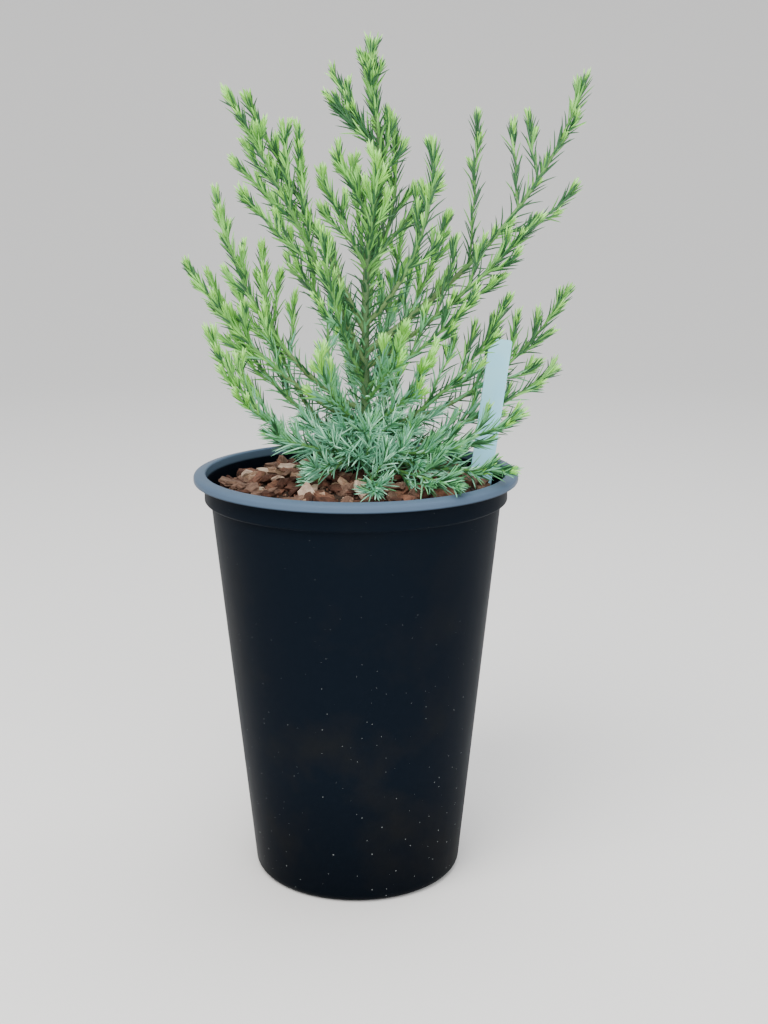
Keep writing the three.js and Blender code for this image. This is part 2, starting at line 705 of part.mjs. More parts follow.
group.add(makeMesh("pot", makePot(), COLOURS.pot, 0.45));
group.add(makeMesh("compost", makeCompost(makeLabel(SEAT_GAP)), COLOURS.compost, 0.95));
group.add(makeMesh("plant_label", makeLabel(0), COLOURS.label, 0.4));
group.add(makeMesh("trunk", makeTrunk(0), COLOURS.trunk, 0.85));
skeleton.rows.forEach((row, index) => {
  if (row.bare > 0) {
    const bough = makeBough(row, skeleton.stems[index], trunkSpace);
    group.add(makeMesh(`${row.name}_bough`, bough, COLOURS.bough, 0.8));
  }
  const mass = makeMass(skeleton, index, trunkSpace);
  const colour = COLOURS.foliage[index % COLOURS.foliage.length];
  group.add(makeMesh(`${row.name}_foliage`, mass, colour, 0.7));
});

export default group;
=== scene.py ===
"""The looks of a potted giant sequoia sapling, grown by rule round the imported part.

The growth rule works in millimetres in the part's frame: the centre of the pot's flat
underside is the origin, +X is to the right, +Y away from the front and +Z up. Meshes are
stored in metres.
"""
import math
from types import SimpleNamespace as Sizes

import bpy
import numpy as np
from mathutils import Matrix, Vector, kdtree, noise


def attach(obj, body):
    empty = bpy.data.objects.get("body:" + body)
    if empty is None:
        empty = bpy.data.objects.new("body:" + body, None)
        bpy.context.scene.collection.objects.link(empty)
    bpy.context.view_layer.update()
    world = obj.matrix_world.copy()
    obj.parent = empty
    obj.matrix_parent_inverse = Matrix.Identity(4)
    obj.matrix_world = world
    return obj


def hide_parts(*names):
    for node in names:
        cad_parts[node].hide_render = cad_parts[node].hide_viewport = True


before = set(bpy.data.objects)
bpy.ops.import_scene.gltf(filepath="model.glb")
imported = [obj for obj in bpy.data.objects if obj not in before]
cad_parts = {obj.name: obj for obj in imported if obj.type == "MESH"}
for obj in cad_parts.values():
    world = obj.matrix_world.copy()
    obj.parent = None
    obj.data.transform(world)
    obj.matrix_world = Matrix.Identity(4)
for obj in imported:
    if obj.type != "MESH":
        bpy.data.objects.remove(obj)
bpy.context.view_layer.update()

MM = 0.001
UP = np.array([0.0, 0.0, 1.0])
SIDEWAYS = np.array([1.0, 0.0, 0.0])
GOLDEN_TURN = math.radians(137.5)

# From this cosine on, a heading is too near an axis to find its sides from that axis.
NEARLY_ALONG = 0.95

# The owner of the trunk's needles and of the tufts, which belong to no mass.
NO_MASS = -1

# The pot: a thin wall with a straight taper, a collar under the rim and a rolled rim.
POT = Sizes(
    height=220, base_radius=56, edge_radius=5, wall=1.4, floor=1.8, wall_top_radius=75.9,
    collar_radius=79.4, collar_foot=204.6, collar_top=215.3, rim_radius=85, mouth_radius=78.5,
    holes=6, hole_radius=4.5, hole_circle=40, segments=160,
)

# The radii of the pot's rounded edges.
ROUND = Sizes(
    hollow=1.7, shoulder=1.1, under_rim=0.6, rim_foot=0.9, brow=1.8, mouth=1.0, inside=1.4, floor=4,
)

# The growing medium: a low mound of compost under loose chips of bark.
COMPOST = Sizes(
    crown=216.7, crown_radius=14, edge=208, slope=1.3, brow=30, chip_rise=3, wall_gap=0.5, floor_gap=0.3,
    heel=5, skirt=0.6, first_ring=73, ring_gap=1.5, grain=0.22, roughness=0.9, settled=0.6, segments=96,
)

# The blank plant label beside the rim.
LABEL = Sizes(
    x=66.5, y=14, z=210, width=12, thickness=0.8, above=77, below=25, point=14, lean=0.13, corner=1.2,
    ease=0.22, toe=0.06, curl=0.25, curl_length=34,
)

# The trunk: a flat foot on the compost, a flared root collar and a slight bow.
TRUNK = Sizes(
    x=5, foot=217, top=398, foot_radius=4, flare_height=9, low_radius=2.5, top_radius=1.15,
    bow=7.5, bow_height=163, bow_span=37.5, sway=1.5, sway_height=73.5,
    first_rise=0.6, cap=1.5, rings=150,
)

# The growth rule of the part's limbs and masses, in millimetres and degrees.
RULE = Sizes(
    step=5, spread=28, spread_jitter=6, turn=165, turn_jitter=14, lift=0.42, clear=4, fixture_clear=2.2,
    limb_margin=0.03, first_shoot=0.3, last_shoot=0.93, highest_shoot=0.95, place_jitter=0.25,
    length_jitter=(0.75, 1.1), shortest=9, swap_turn=180, tip_radius=0.5, shoot_radius=0.66,
    shoot_tip_radius=0.38, bough_radius=0.75, bough_growth=0.006,
)
SEEDS = Sizes(shoots=7919, per_bough=104729, finer=31, needles=47, chips=59, bark=61)


def bough(name, up, angle, rise, length, bare, shoots, reach, first=None, roll=0, ease=1,
          spread=RULE.spread, lift=RULE.lift, turn=RULE.turn, swap=None):
    """One bough: its height and angle on the trunk, its rise there and at the tip, and its shoots."""
    start = max(bare + RULE.limb_margin, RULE.first_shoot) if first is None else first
    return Sizes(
        name=name, up=up, angle=angle, rise=rise, length=length, bare=bare, shoots=shoots, reach=reach,
        first=start, roll=roll, ease=ease, spread=spread, lift=lift, turn=turn, swap=swap or shoots,
    )


BOUGHS = [
    bough("left_crest", 163, 178, (58, 62), 36, 0, 2, 44, first=0.16, roll=180, turn=20, spread=14,
          lift=0.2),
    bough("left_top", 129, 165, (64, 58), 40, 0, 3, 30, first=0.35),
    bough("left_upper", 106, 202, (62, 64), 55, 0, 4, 36, roll=150),
    bough("left_ridge", 74, 186, (65, 61), 131, 0.4, 6, 56, roll=180, spread=24),
    bough("left_high", 58, 198, (65, 60), 152, 0.3, 8, 120, roll=180, spread=24, lift=0.2),
    bough("left_mid", 48, 222, (56, 84), 84, 0, 5, 40, first=0.4, roll=180),
    bough("left_wide", 34, 177, (14, 81), 141, 0.36, 7, 72, roll=180, ease=0.6),
    bough("left_far", 26, 184, (21, 58), 124, 0.4, 7, 62, ease=0.7),
    bough("left_near", 19, 209, (16, 104), 86, 0, 4, 34, first=0.5, roll=180, ease=0.45),
    bough("left_inner", 10, 165, (8, 90), 128, 0.38, 6, 104, first=0.48, ease=0.5),
    bough("left_low", 6, 200, (-4, 68), 116, 0.36, 7, 72, ease=0.6, roll=50, turn=180),
    bough("left_edge", 16, 178, (10, 70), 122, 0.36, 7, 60, ease=0.6),
    bough("right_top", 136, 20, (74, 84), 46, 0, 4, 38, first=0.4),
    bough("right_rear", 100, 30, (56, 100), 80, 0, 4, 38, first=0.4),
    bough("right_crest", 107, 12, (47, 54), 50, 0, 4, 50),
    bough("right_curved", 78, 334, (43, 95), 101, 0.34, 5, 44, roll=180, ease=1.1),
    bough("right_high", 64, 6, (37, 74), 180, 0.36, 6, 134, ease=1.7, spread=44, lift=0.6, swap=3),
    bough("right_wide", 56, 350, (34, 48), 116, 0.36, 7, 80),
    bough("right_mid", 46, 340, (32, 46), 74, 0, 5, 50, first=0.4),
    bough("right_back", 24, 22, (2, 56), 142, 0.42, 7, 90, ease=0.95),
    bough("right_inner", 19, 352, (18, 66), 104, 0.3, 6, 64, ease=0.8),
    bough("right_far", 9, 18, (10, 32), 116, 0.42, 5, 44),
    bough("right_low", 15, 343, (-6, 34), 86, 0.36, 5, 54),
    bough("right_ground", 10, 327, (-6, 8), 86, 0, 6, 50),
    bough("front_right", 25, 316, (24, 62), 64, 0, 5, 54),
    bough("front_mid", 39, 294, (26, 58), 64, 0, 4, 48),
    bough("front_left", 27, 236, (16, 70), 60, 0, 5, 50),
    bough("front_top", 112, 292, (70, 80), 52, 0, 4, 38),
    bough("back_right", 44, 48, (40, 66), 112, 0, 6, 72, first=0.36),
    bough("back_inner", 36, 66, (50, 72), 104, 0, 6, 60),
    bough("back_mid", 69, 80, (48, 72), 100, 0, 6, 58),
    bough("back_left", 55, 134, (36, 66), 114, 0, 6, 72, first=0.4),
    bough("back_side", 40, 112, (44, 74), 92, 0, 5, 54),
    bough("back_low", 23, 100, (16, 64), 92, 0, 6, 64),
    bough("back_aside", 15, 74, (16, 60), 88, 0, 6, 64),
    bough("back_top", 104, 102, (50, 70), 66, 0, 4, 48),
    bough("base_left", 11, 232, (-6, 2), 44, 0, 5, 40, first=0.25),
    bough("base_front", 5, 275, (-2, -3), 56, 0, 6, 56, first=0.25, spread=46),
    bough("base_near", 7, 305, (-1, 1), 76, 0, 6, 50, first=0.25),
    bough("base_right", 13, 313, (2, 14), 66, 0, 5, 42, first=0.25),
    bough("base_side", 13, 214, (2, 26), 60, 0, 5, 42, first=0.25),
]
LEADER = Sizes(
    name="leader", tip=424, length=26, bare=0, shoots=5, reach=28, first=0.05, roll=-100, turn=205,
    spread=18, lift=RULE.lift, swap=5,
)

# Finer twigs, which the scene adds between the part's own shoots towards their tips.
FINER = Sizes(
    step=2, start=0.42, end=0.9, place_jitter=(0.2, 0.8), spread=(15, 30), turn_jitter=30,
    rival_clear=2.6, fixture_clear=1.2, radius=0.45, tip_radius=0.3, length_at_foot=1.25, length_loss=0.5,
)


def style(reach, gap, tender, light, twig_gap=0, twig_length=(0, 0), twig_clear=1.7):
    """How the needles and finer twigs of one part of the plant differ.

    reach and gap scale the needles' length and spacing, tender is how far from the tip they are
    fresh, in millimetres, and light is how light they are. The twigs' gap, length and clearance
    from their kin are in millimetres. A tuft grows no twigs.
    """
    return Sizes(
        reach=reach, gap=gap, tender=tender, light=light, twig_gap=twig_gap, twig_length=twig_length,
        twig_clear=twig_clear,
    )


# The airy low boughs on the left share one style.
OPEN = style(1.0, 1.2, 4, 0.1, 12, (6, 12), 2.2)
STYLES = {
    "left": style(0.98, 0.95, 4, -0.25, 8, (6, 13)),
    "left_crest": style(1.2, 0.6, 2, -1.2, 3, (7, 12), 0.9),
    "left_low": OPEN,
    "left_edge": OPEN,
    "left_inner": OPEN,
    "left_near": OPEN,
    "right": style(1.22, 1.4, 3.2, -0.8, 12, (5, 10)),
    "front": style(1.05, 1.0, 8, 0.1, 9, (6, 12)),
    "back": style(1.05, 1.15, 4, -0.1, 11, (5, 12)),
    "base": style(1.45, 1.85, 0.6, -0.2, 9, (6, 14)),
    "leader": style(1.15, 0.75, 1.2, -1.0, 1.5, (7, 10), 0.7),
    "tuft": style(1.3, 1.7, 0, -0.3),
}


def style_of(name):
    """A mass's own style, or else its side's."""
    return STYLES.get(name) or STYLES[name.partition("_")[0]]


# Short shoots crowded round the foot of the trunk.
TUFTS = Sizes(
    count=50, up=(5, 27), rise=(-14, 22), length=(16, 42), clear=2.0, step=2.5, lift=0.02,
    steps_in_trunk=2, steps_in_crowd=4, fewest_points=5, claimed_from=6,
)

# Curves through the shoots: the steps of stems and of shoots, their side-to-side sway and its length,
# in millimetres, and the sides of each tube.
CURVE = Sizes(stem_step=1.0, shoot_step=1.25, shoot_sway=0.5, twig_sway=0.35, sway_length=24)
SIDES = Sizes(trunk=28, bough=14, stem=8, shoot=6, twig=5)


class Dice:
    """The part's repeatable stream of numbers from 0 to 1 for one seed."""

    MASK = 0xFFFFFFFF

    def __init__(self, seed):
        self.state = seed & self.MASK

    def roll(self):
        mask = self.MASK
        self.state = (self.state + 0x6D2B79F5) & mask
        t = self.state
        t = ((t ^ (t >> 15)) * (t | 1)) & mask
        t ^= (t + (((t ^ (t >> 7)) * (t | 61)) & mask)) & mask
        return ((t ^ (t >> 14)) & mask) / 4294967296

    def between(self, low, high):
        return low + (high - low) * self.roll()


def unit(v):
    return v / np.maximum(np.linalg.norm(v, axis=-1, keepdims=True), 1e-12)


def smooth(share):
    share = np.clip(share, 0, 1)
    return share * share * (3 - 2 * share)


def trunk_centre(z):
    """The trunk's centre line at a height, or at each of several heights."""
    z = np.asarray(z, float)
    rise = z - TRUNK.foot
    bow = TRUNK.bow * np.exp(-(((rise - TRUNK.bow_height) / TRUNK.bow_span) ** 2))
    return np.stack([TRUNK.x + bow, TRUNK.sway * np.sin(rise / TRUNK.sway_height), z], axis=-1)


def trunk_radius(z):
    rise = np.asarray(z, float) - TRUNK.foot
    share = rise / (TRUNK.top - TRUNK.foot)
    flare = (TRUNK.foot_radius - TRUNK.low_radius) * np.exp(-rise / TRUNK.flare_height)
    return TRUNK.low_radius + (TRUNK.top_radius - TRUNK.low_radius) * share + flare


def heading_of(angle, rise):
    turn = math.radians(angle)
    climb = math.radians(rise)
    return np.array([math.cos(climb) * math.cos(turn), math.cos(climb) * math.sin(turn), math.sin(climb)])


def bough_path(row):
    count = max(6, math.floor(row.length / RULE.step + 0.5))
    points = [trunk_centre(TRUNK.foot + row.up)]
    for i in range(count):
        bend = ((i + 0.5) / count) ** row.ease
        rise = row.rise[0] + (row.rise[1] - row.rise[0]) * bend
        points.append(points[-1] + heading_of(row.angle, rise) * row.length / count)
    return np.array(points)


def leader_path():
    count = math.floor(LEADER.length / RULE.step + 0.5)
    return trunk_centre(np.linspace(TRUNK.top, LEADER.tip, count + 1))


def along(path, share):
    x = share * (len(path) - 1)
    i = min(int(x), len(path) - 2)
    return path[i] + (path[i + 1] - path[i]) * (x - i), unit(path[i + 1] - path[i])


def side_shoot(start, heading, roll, spread, lift, length, step, is_free):
    """A side shoot leaves its stem at an angle and bends upwards; it stops where there is no room."""
    reference = UP if abs(heading[2]) < NEARLY_ALONG else SIDEWAYS
    side = unit(np.cross(heading, reference))
    over = np.cross(side, heading)
    out = over * math.cos(math.radians(roll)) + side * math.sin(math.radians(roll))
    first = heading * math.cos(math.radians(spread)) + out * math.sin(math.radians(spread))
    count = max(2, math.floor(length / step + 0.5))
    points = [start]
    for i in range(count):
        bend = lift * (i + 0.5) / count
        point = points[-1] + unit(first * (1 - bend) + UP * bend) * length / count
        if not is_free(point):
            break
        points.append(point)
    return np.array(points)


def mound_height(radius):
    share = np.clip((radius - COMPOST.crown_radius) / (POT.mouth_radius - COMPOST.crown_radius), 0, 1)
    return COMPOST.crown - (COMPOST.crown - COMPOST.edge) * share**COMPOST.slope


def clear_of_rim_and_label(points, margin):
    x, y, z = points[..., 0], points[..., 1], points[..., 2]
    radius = np.hypot(x, y)
    outside = radius >= POT.mouth_radius - margin
    in_rim = outside & (radius < POT.rim_radius + margin) & (z < POT.height + margin)
    across_label = np.abs(x - (LABEL.x + (z - LABEL.z) * LABEL.lean)) < LABEL.width / 2 + margin
    through_label = np.abs(y - LABEL.y) < LABEL.thickness / 2 + margin
    in_label = across_label & through_label & (z < LABEL.z + LABEL.above + margin)
    return ~(in_rim | in_label)


def clear_of_trunk(points, margin):
    z = points[..., 2]
    from_trunk = np.linalg.norm((points - trunk_centre(z))[..., :2], axis=-1)
    return ~((z < TRUNK.top + margin) & (from_trunk < trunk_radius(z) + margin))


def clear_of_fixtures(point, margin):
    """The part's own test for a point of a shoot."""
    radius = math.hypot(point[0], point[1])
    chip_tops = COMPOST.crown + (0 if radius > COMPOST.brow else COMPOST.chip_rise)
    in_compost = radius < POT.mouth_radius - margin and point[2] < chip_tops + margin
    if in_compost:
        return False
    return bool(clear_of_trunk(point, margin)) and bool(clear_of_rim_and_label(point, margin))


def with_middles(path):
    middles = (path[:-1] + path[1:]) / 2
    return np.vstack([path, middles])


def nearest(point, points):
    return math.sqrt(((points - point) ** 2).sum(1).min())


def grow_masses():
    """The part's skeleton: each mass's stem, then its side shoots where there is room."""
    rows = [*BOUGHS, LEADER]
    stems = [leader_path() if row is LEADER else bough_path(row) for row in rows]
    claims = [with_middles(stem) for stem in stems]
    masses = []
    for index, row in enumerate(rows):
        dice = Dice(SEEDS.shoots + index * SEEDS.per_bough)
        rivals = np.vstack([claim for owner, claim in enumerate(claims) if owner != index])

        def is_free(point):
            return clear_of_fixtures(point, RULE.fixture_clear) and nearest(point, rivals) > RULE.clear

        pitch = (RULE.last_shoot - row.first) / (row.shoots - 1)
        shoots = []
        for k in range(row.shoots):
            jitter = dice.between(-RULE.place_jitter, RULE.place_jitter) if k else 0
            share = min(row.first + pitch * (k + jitter), RULE.highest_shoot)
            place, heading = along(stems[index], share)
            roll = row.roll + row.turn * k + dice.between(-RULE.turn_jitter, RULE.turn_jitter)
            roll += RULE.swap_turn if k >= row.swap else 0
            spread = row.spread + dice.between(-RULE.spread_jitter, RULE.spread_jitter)
            room = row.reach * (RULE.highest_shoot - share)
            length = max(room * dice.between(*RULE.length_jitter), RULE.shortest)
            shoot = side_shoot(place, heading, roll, spread, row.lift, length, RULE.step, is_free)
            if len(shoot) > 2:
                shoots.append(shoot)
                claims[index] = np.vstack([claims[index], with_middles(shoot)])
        masses.append(Sizes(row=row, stem=stems[index], shoots=shoots))
    return masses, claims


def limb_radius(row, share):
    foot = RULE.bough_radius + RULE.bough_growth * row.length
    return foot + (RULE.tip_radius - foot) * share


def path_length(path):
    return np.linalg.norm(np.diff(path, axis=0), axis=1).sum()


def grow_finer(masses, claims, rng):
    """Small twigs between the part's own shoots, towards the tips of the stems and side shoots."""
    found = []
    for index, mass in enumerate(masses):
        rivals = np.vstack([claim for owner, claim in enumerate(claims) if owner != index])
        looks = style_of(mass.row.name)
        paths = [mass.stem, *mass.shoots]
        for path in list(paths):
            kin = np.vstack([with_middles(other) for other in paths if other is not path])

            def is_free(point):
                return (
                    clear_of_fixtures(point, FINER.fixture_clear)
                    and nearest(point, rivals) > FINER.rival_clear
                    and nearest(point, kin) > looks.twig_clear
                )

            count = int(path_length(path) * (FINER.end - FINER.start) / looks.twig_gap)
            roll = rng.uniform(0, 360)
            for k in range(count):
                number = k + rng.uniform(*FINER.place_jitter)
                share = FINER.start + (FINER.end - FINER.start) * number / count
                roll += RULE.turn + rng.uniform(-FINER.turn_jitter, FINER.turn_jitter)
                place, heading = along(path, share)
                length = rng.uniform(*looks.twig_length)
                length *= FINER.length_at_foot - FINER.length_loss * share
                spread = rng.uniform(*FINER.spread)
                twig = side_shoot(place, heading, roll, spread, RULE.lift, length, FINER.step, is_free)
                if len(twig) > 2:
                    found.append(Sizes(owner=index, path=twig))
                    paths.append(twig)
                    kin = np.vstack([kin, with_middles(twig)])
    return found


def grow_tufts(claims, rng):
    """Short crowded shoots on the lowest part of the trunk."""
    taken = np.vstack(claims)
    found = []
    for k in range(TUFTS.count):
        share = (k + 0.5) / TUFTS.count
        start = trunk_centre(TRUNK.foot + TUFTS.up[0] + (TUFTS.up[1] - TUFTS.up[0]) * share)
        heading = heading_of(math.degrees(GOLDEN_TURN) * k, rng.uniform(*TUFTS.rise))
        points = [start]
        for i in range(round(rng.uniform(*TUFTS.length) / TUFTS.step)):
            point = points[-1] + unit(heading + UP * TUFTS.lift * i) * TUFTS.step
            if i >= TUFTS.steps_in_trunk and not clear_of_fixtures(point, FINER.fixture_clear):
                break
            if i >= TUFTS.steps_in_crowd and nearest(point, taken) < TUFTS.clear:
                break
            points.append(point)
        if len(points) >= TUFTS.fewest_points:
            path = np.array(points)
            found.append(Sizes(owner=NO_MASS, path=path))
            taken = np.vstack([taken, with_middles(path)[TUFTS.claimed_from:]])
    return found


def curve_through(path, gap, sway, rng):
    """A smooth curve through a path, with headings, side vectors and lengths along it."""
    path = np.asarray(path)
    ends = np.vstack([2 * path[0] - path[1], path, 2 * path[-1] - path[-2]])
    count = max(3, round(path_length(path) / gap))
    at = np.linspace(0, len(path) - 1, count + 1)
    i = np.minimum(at.astype(int), len(path) - 2)
    t = (at - i)[:, None]
    a, b, c, d = ends[i], ends[i + 1], ends[i + 2], ends[i + 3]
    points = b + 0.5 * t * ((c - a) + t * (2 * a - 5 * b + 4 * c - d + t * (3 * b - a - 3 * c + d)))
    waves = np.linspace(0, path_length(path) / CURVE.sway_length, count + 1)[:, None]
    swing = np.sin(2 * math.pi * (waves + rng.uniform(0, 1, 3)))
    swing = swing - np.sin(2 * math.pi * rng.uniform(0, 1, 3))
    points = points + swing * sway * smooth(np.linspace(0, 3, count + 1))[:, None]
    headings = unit(np.gradient(points, axis=0))
    across = np.empty_like(headings)
    current = SIDEWAYS if abs(headings[0][0]) < NEARLY_ALONG else UP
    for k, heading in enumerate(headings):
        current = unit(current - heading * current.dot(heading))
        across[k] = current
    arcs = np.concatenate([[0], np.cumsum(np.linalg.norm(np.diff(points, axis=0), axis=1))])
    return Sizes(points=points, headings=headings, across=across, arcs=arcs, length=arcs[-1])


def shoot_radii(curve, foot, tip):
    return foot + (tip - foot) * curve.arcs / curve.length


def part_of(curve, start, end):
    """The stretch of a curve between two of its points."""
    rows = slice(start, end)
    return Sizes(points=curve.points[rows], headings=curve.headings[rows], across=curve.across[rows],
                 arcs=curve.arcs[rows])


def mesh_object(name, points, faces):
    """An object made of triangles, from points in millimetres."""
    mesh = bpy.data.meshes.new(name)
    mesh.vertices.add(len(points))
    mesh.vertices.foreach_set("co", (np.asarray(points) * MM).astype(np.float32).ravel())
    faces = np.asarray(faces, np.int32)
    mesh.loops.add(faces.size)
    mesh.loops.foreach_set("vertex_index", faces.ravel())
    mesh.polygons.add(len(faces))
    mesh.polygons.foreach_set("loop_start", np.arange(0, faces.size, 3, dtype=np.int32))
    mesh.update(calc_edges=True)
    obj = bpy.data.objects.new(name, mesh)
    bpy.context.scene.collection.objects.link(obj)
    return obj


def dress(obj, material, sharp_angle):
    """Gives a piece its material and hangs it under the root; edges sharper than the angle stay crisp."""
    obj.data.materials.append(material)
    obj.data.shade_smooth()
    obj.data.set_sharp_from_angle(angle=math.radians(sharp_angle))
    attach(obj, "root")
    return obj


class Pile:
    """Vertices and triangles of one piece, gathered in millimetres."""

    def __init__(self):
        self.points = []
        self.faces = []
        self.count = 0

    def add(self, points, faces):
        self.points.append(points)
        self.faces.append(faces + self.count)
        self.count += len(points)

    def make(self, name, material, slot, sharp_angle):
        obj = mesh_object(name, np.vstack(self.points), np.vstack(self.faces))
        return dress(obj, material, sharp_angle)


def skin(rings, sides):
    """Triangles between rings of points that follow each other, without the two ends."""
    i, k = np.meshgrid(np.arange(rings - 1), np.arange(sides), indexing="ij")
    a = (i * sides + k).ravel()
    b = (i * sides + (k + 1) % sides).ravel()
    return np.vstack([np.column_stack([a, b, b + sides]), np.column_stack([a, b + sides, a + sides])])


def closed_skin(rings, sides):
    """The same with a fan over each end, to two more points after the rings."""
    first_pole = rings * sides
    k = np.arange(sides)
    after = (k + 1) % sides
    last = (rings - 1) * sides
    return np.vstack([
        skin(rings, sides),
        np.column_stack([np.full(sides, first_pole), after, k]),
        np.column_stack([np.full(sides, first_pole + 1), last + k, last + after]),
    ])


def tube(curve, radii, sides, relief=None):
    """A round closed body along a curve. relief moves each vertex in or out, in millimetres."""
    turn = np.linspace(0, 2 * math.pi, sides, endpoint=False)
    around = np.cross(curve.headings, curve.across)
    cosines, sines = np.cos(turn)[None, :, None], np.sin(turn)[None, :, None]
    out = curve.across[:, None] * cosines + around[:, None] * sines
    reach = np.repeat(radii[:, None], sides, axis=1)
    if relief is not None:
        reach = reach + relief
    rim = (curve.points[:, None] + out * reach[..., None]).reshape(-1, 3)
    points = np.vstack([rim, curve.points[:1], curve.points[-1:]])
    return points, closed_skin(len(curve.points), sides)


# Kinds of needle by tint, from the pale bluish ones at the foot to the fresh tips.
KINDS = ("pale", "glaucous", "sea", "deep", "green", "leaf", "fresh", "tip")

# How needles stand on each order of shoot, in millimetres and degrees: their length, their lean and
# gap away from the tip, their width, and the length of the brush in which they close up at the tip.
ORDERS = {
    "trunk": Sizes(length=9.6, lean=44, gap=0.8, width=1.2, brush=1),
    "leader": Sizes(length=9.2, lean=24, gap=0.45, width=1.15, brush=24),
    "stem": Sizes(length=9.0, lean=32, gap=1.15, width=1.2, brush=24),
    "side": Sizes(length=8.4, lean=27, gap=1.1, width=1.15, brush=16),
    "finer": Sizes(length=7.0, lean=20, gap=0.6, width=1.05, brush=9),
    "tuft": Sizes(length=10.4, lean=50, gap=0.72, width=0.98, brush=10),
}
NEEDLE = Sizes(
    rings=((0.0, 0.6), (0.2, 1.0), (0.55, 0.9), (0.84, 0.56)), thickness=0.8, tip_lean=13, tip_gap=0.38,
    tip_share=0.6, grow_at=11, old_from=40, old_over=60, old_lean=14, low_from=0.5, low_lean=26,
    low_growth=0.14, lean_jitter=6, brush_jitter=0.4, turn_jitter=0.2, aim_jitter=0.04, lift=0.06,
    length_jitter=(0.84, 1.12), width_jitter=(0.88, 1.12), brush_width=0.85, width_gain=0.15, sunk=0.5,
    heel=1.2, shoulder=0.1, forward=0.6, straight=0.36, probes=(0.6, 1.0), ground_margin=1.2,
    probe_margin=0.35, rival_margin=0.9, first_place=0.25,
)

# How far from the foot of each limb or shoot its first needle stands, in millimetres.
FIRST_NEEDLE = Sizes(trunk=8, leader=0.5, stem=4, shoot=1.5, twig=1.2)

def needle_mesh(seat, middle, tip, side, width):
    """All needles at once: four-sided blades along curves from seat to tip, pulled towards middle."""
    count = len(seat)
    points = []
    for share, wide in NEEDLE.rings:
        back = 1 - share
        centre = seat * back**2 + middle * 2 * back * share + tip * share**2
        heading = unit((middle - seat) * back + (tip - middle) * share)
        half = side * (width * wide / 2)[:, None]
        rise = np.cross(heading, side) * (NEEDLE.thickness * wide / 2)
        points += [centre + half, centre + rise, centre - half, centre - rise]
    points.append(tip)
    points = np.stack(points, axis=1)
    rings = len(NEEDLE.rings)
    last = 4 * (rings - 1)
    faces = np.vstack([
        skin(rings, 4),
        [[0, 3, 2], [0, 2, 1]],
        [[last + j, last + (j + 1) % 4, 4 * rings] for j in range(4)],
    ])
    starts = np.arange(count)[:, None, None] * points.shape[1]
    return points.reshape(-1, 3), (faces[None] + starts).reshape(-1, 3)


def needle_places(length, brush, gap):
    """Distances from the tip at which needles stand, close together in the brush."""
    places = []
    place = NEEDLE.first_place
    while place < length:
        places.append(place)
        place += NEEDLE.tip_gap + (gap - NEEDLE.tip_gap) * min(place / brush, 1) ** 2
    return np.array(places)


# The depth in the crown at the foot, the height and breadth over which it falls, and its rise behind.
CROWN = Sizes(depth=1.22, height=120, breadth=130, behind=0.1, behind_over=40)

# How needles take their tints: chance in each needle and each spray, the shade on old wood, and the
# depths from which shoots are blue and bluest.
TINTING = Sizes(
    blue_jitter=0.08, light_jitter=0.95, shade=0.5, shade_from=12, shade_over=50, blue_light=0.45,
    tender_jitter=1.0, tender_to=0.4, tender_loss=14, tip_share=0.3, blue=0.38, bluest=0.74,
    spray_tone=0.08, spray_light=0.25,
)


def depth_in_crown(points):
    """About 1 near the foot of the trunk and 0 towards the outer tips."""
    height = points[:, 2] - TRUNK.foot
    aside = np.linalg.norm((points - trunk_centre(points[:, 2]))[:, :2], axis=1)
    behind = CROWN.behind * smooth(points[:, 1] / CROWN.behind_over)
    return CROWN.depth - height / CROWN.height - aside / CROWN.breadth + behind


